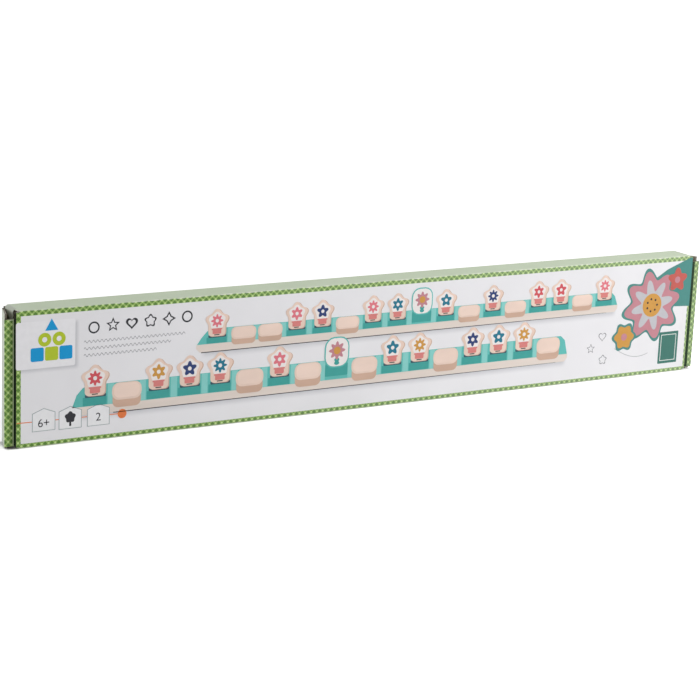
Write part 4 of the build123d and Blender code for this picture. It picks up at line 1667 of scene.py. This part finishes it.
class CARTON_OT_stage(Operator):
    """Set the floor, the lights and the camera"""

    bl_idname = "carton.stage"
    bl_label = "Set the stage"

    def execute(self, context):
        stage = context.scene.carton_stage
        self.floor(stage)
        self.light("key_light", stage.key_power, **KEY_LIGHT)
        self.light("fill_light", stage.fill_power, **FILL_LIGHT)
        world = bpy.data.worlds.new("studio")
        world.use_nodes = True
        tree = world.node_tree
        background = tree.nodes["Background"]
        background.inputs["Color"].default_value = (1, 1, 1, 1)
        seen = tree.nodes.new("ShaderNodeMix")
        tree.links.new(self.looked_at(tree), seen.inputs[0])
        seen.inputs[2].default_value = stage.world_light
        seen.inputs[3].default_value = 1.0
        tree.links.new(seen.outputs[0], background.inputs["Strength"])
        context.scene.world = world
        context.scene.view_settings.view_transform = "Standard"
        self.camera(context.scene, stage)
        return {"FINISHED"}

    def looked_at(self, tree):
        """1 for what the camera sees, also in a reflection or through glass."""
        path = tree.nodes.new("ShaderNodeLightPath")
        total = path.outputs["Is Camera Ray"]
        for name in ("Is Glossy Ray", "Is Transmission Ray"):
            most = tree.nodes.new("ShaderNodeMath")
            most.operation = "MAXIMUM"
            tree.links.new(total, most.inputs[0])
            tree.links.new(path.outputs[name], most.inputs[1])
            total = most.outputs[0]
        return total

    def floor(self, stage):
        """A white floor that shows the carton's shadow. Close to the carton its white glow is withheld, so
        there it shows its own shading only and is painted darker round the carton's foot.
        """
        half = stage.floor_half
        mesh = bmesh.new()
        corners = [(-half, -half), (half, -half), (half, half), (-half, half)]
        mesh.faces.new([mesh.verts.new((x, y, -stage.floor_drop)) for x, y in corners])
        finish = Finish("floor_white", roughness=0.9, sheen_gloss=0.1)
        finish.colour(finish.tone(stage.floor, finish.noise(3), 0.002))
        x, y, _ = finish.axes()
        high = cad_box[1]
        to_side = finish.math("SUBTRACT", finish.math("ABSOLUTE", x), high[0])
        to_front = finish.math("SUBTRACT", finish.math("ABSOLUTE", y), high[1])
        away = finish.math("MAXIMUM", to_side, to_front)
        # withholding the glow near the carton paints the floor darker there as contact shade, on top of its
        # real shading
        near = finish.ramp(away, -stage.under_shade, stage.floor_shade, 0.0, stage.floor_glow)
        far = finish.ramp(away, stage.far_start, stage.far_stop, 1.0, stage.far_glow)
        glow = finish.add("ShaderNodeEmission")
        finish.feed(glow.inputs["Strength"], finish.all_of(self.looked_at(finish.tree), near, far))
        both = finish.add("ShaderNodeAddShader")
        finish.feed(both.inputs[0], finish.shader.outputs[0])
        finish.feed(both.inputs[1], glow.outputs[0])
        output = next(node for node in finish.tree.nodes if node.type == "OUTPUT_MATERIAL")
        finish.feed(output.inputs["Surface"], both.outputs[0])
        finished("floor", mesh, finish.material, None)

    def light(self, name, power, place, target, size):
        data = bpy.data.lights.new(name, "AREA")
        data.size = size
        data.energy = power
        lamp = bpy.data.objects.new(name, data)
        lamp.location = place
        lamp.rotation_euler = (Vector(target) - Vector(place)).to_track_quat("-Z", "Y").to_euler()
        bpy.context.scene.collection.objects.link(lamp)

    def camera(self, scene, stage):
        data = bpy.data.cameras.new("camera")
        data.sensor_width = SENSOR_WIDTH
        data.sensor_fit = "HORIZONTAL"
        data.lens = stage.lens
        data.clip_start = NEAREST
        data.clip_end = FARTHEST
        camera = bpy.data.objects.new("camera", data)
        back = -Vector(stage.camera_ahead).normalized()
        right = Vector(stage.camera_right).normalized()
        up = back.cross(right)
        turned = Matrix((right, up, back)).transposed().to_4x4()
        camera.matrix_world = Matrix.Translation(Vector(stage.camera_place)) @ turned
        scene.collection.objects.link(camera)
        scene.camera = camera


STEPS = (
    CARTON_OT_board, CARTON_OT_contents, CARTON_OT_creases, CARTON_OT_flutes, CARTON_OT_label, CARTON_OT_tags,
    CARTON_OT_rails, CARTON_OT_flower, CARTON_OT_small_prints, CARTON_OT_stage,
)


class CARTON_PT_steps(Panel):
    """The steps of the carton's finish"""

    bl_idname = "CARTON_PT_steps"
    bl_label = "Carton"
    bl_space_type = "VIEW_3D"
    bl_region_type = "UI"
    bl_category = "Carton"

    def draw(self, context):
        for step in STEPS:
            self.layout.operator(step.bl_idname)


GROUPS = {
    "carton_board": CartonBoard, "carton_print": CartonPrint, "carton_picture": CartonPicture,
    "carton_contents": CartonContents, "carton_stage": CartonStage,
}


def register():
    for item in (*GROUPS.values(), *STEPS, CARTON_PT_steps):
        bpy.utils.register_class(item)
    for name, group in GROUPS.items():
        setattr(bpy.types.Scene, name, PointerProperty(type=group))


def unregister():
    for name in GROUPS:
        delattr(bpy.types.Scene, name)
    for item in reversed((*GROUPS.values(), *STEPS, CARTON_PT_steps)):
        bpy.utils.unregister_class(item)


def main():
    register()
    for step in STEPS:
        getattr(bpy.ops.carton, step.bl_idname.split(".")[1])()


if __name__ == "__main__":
    main()
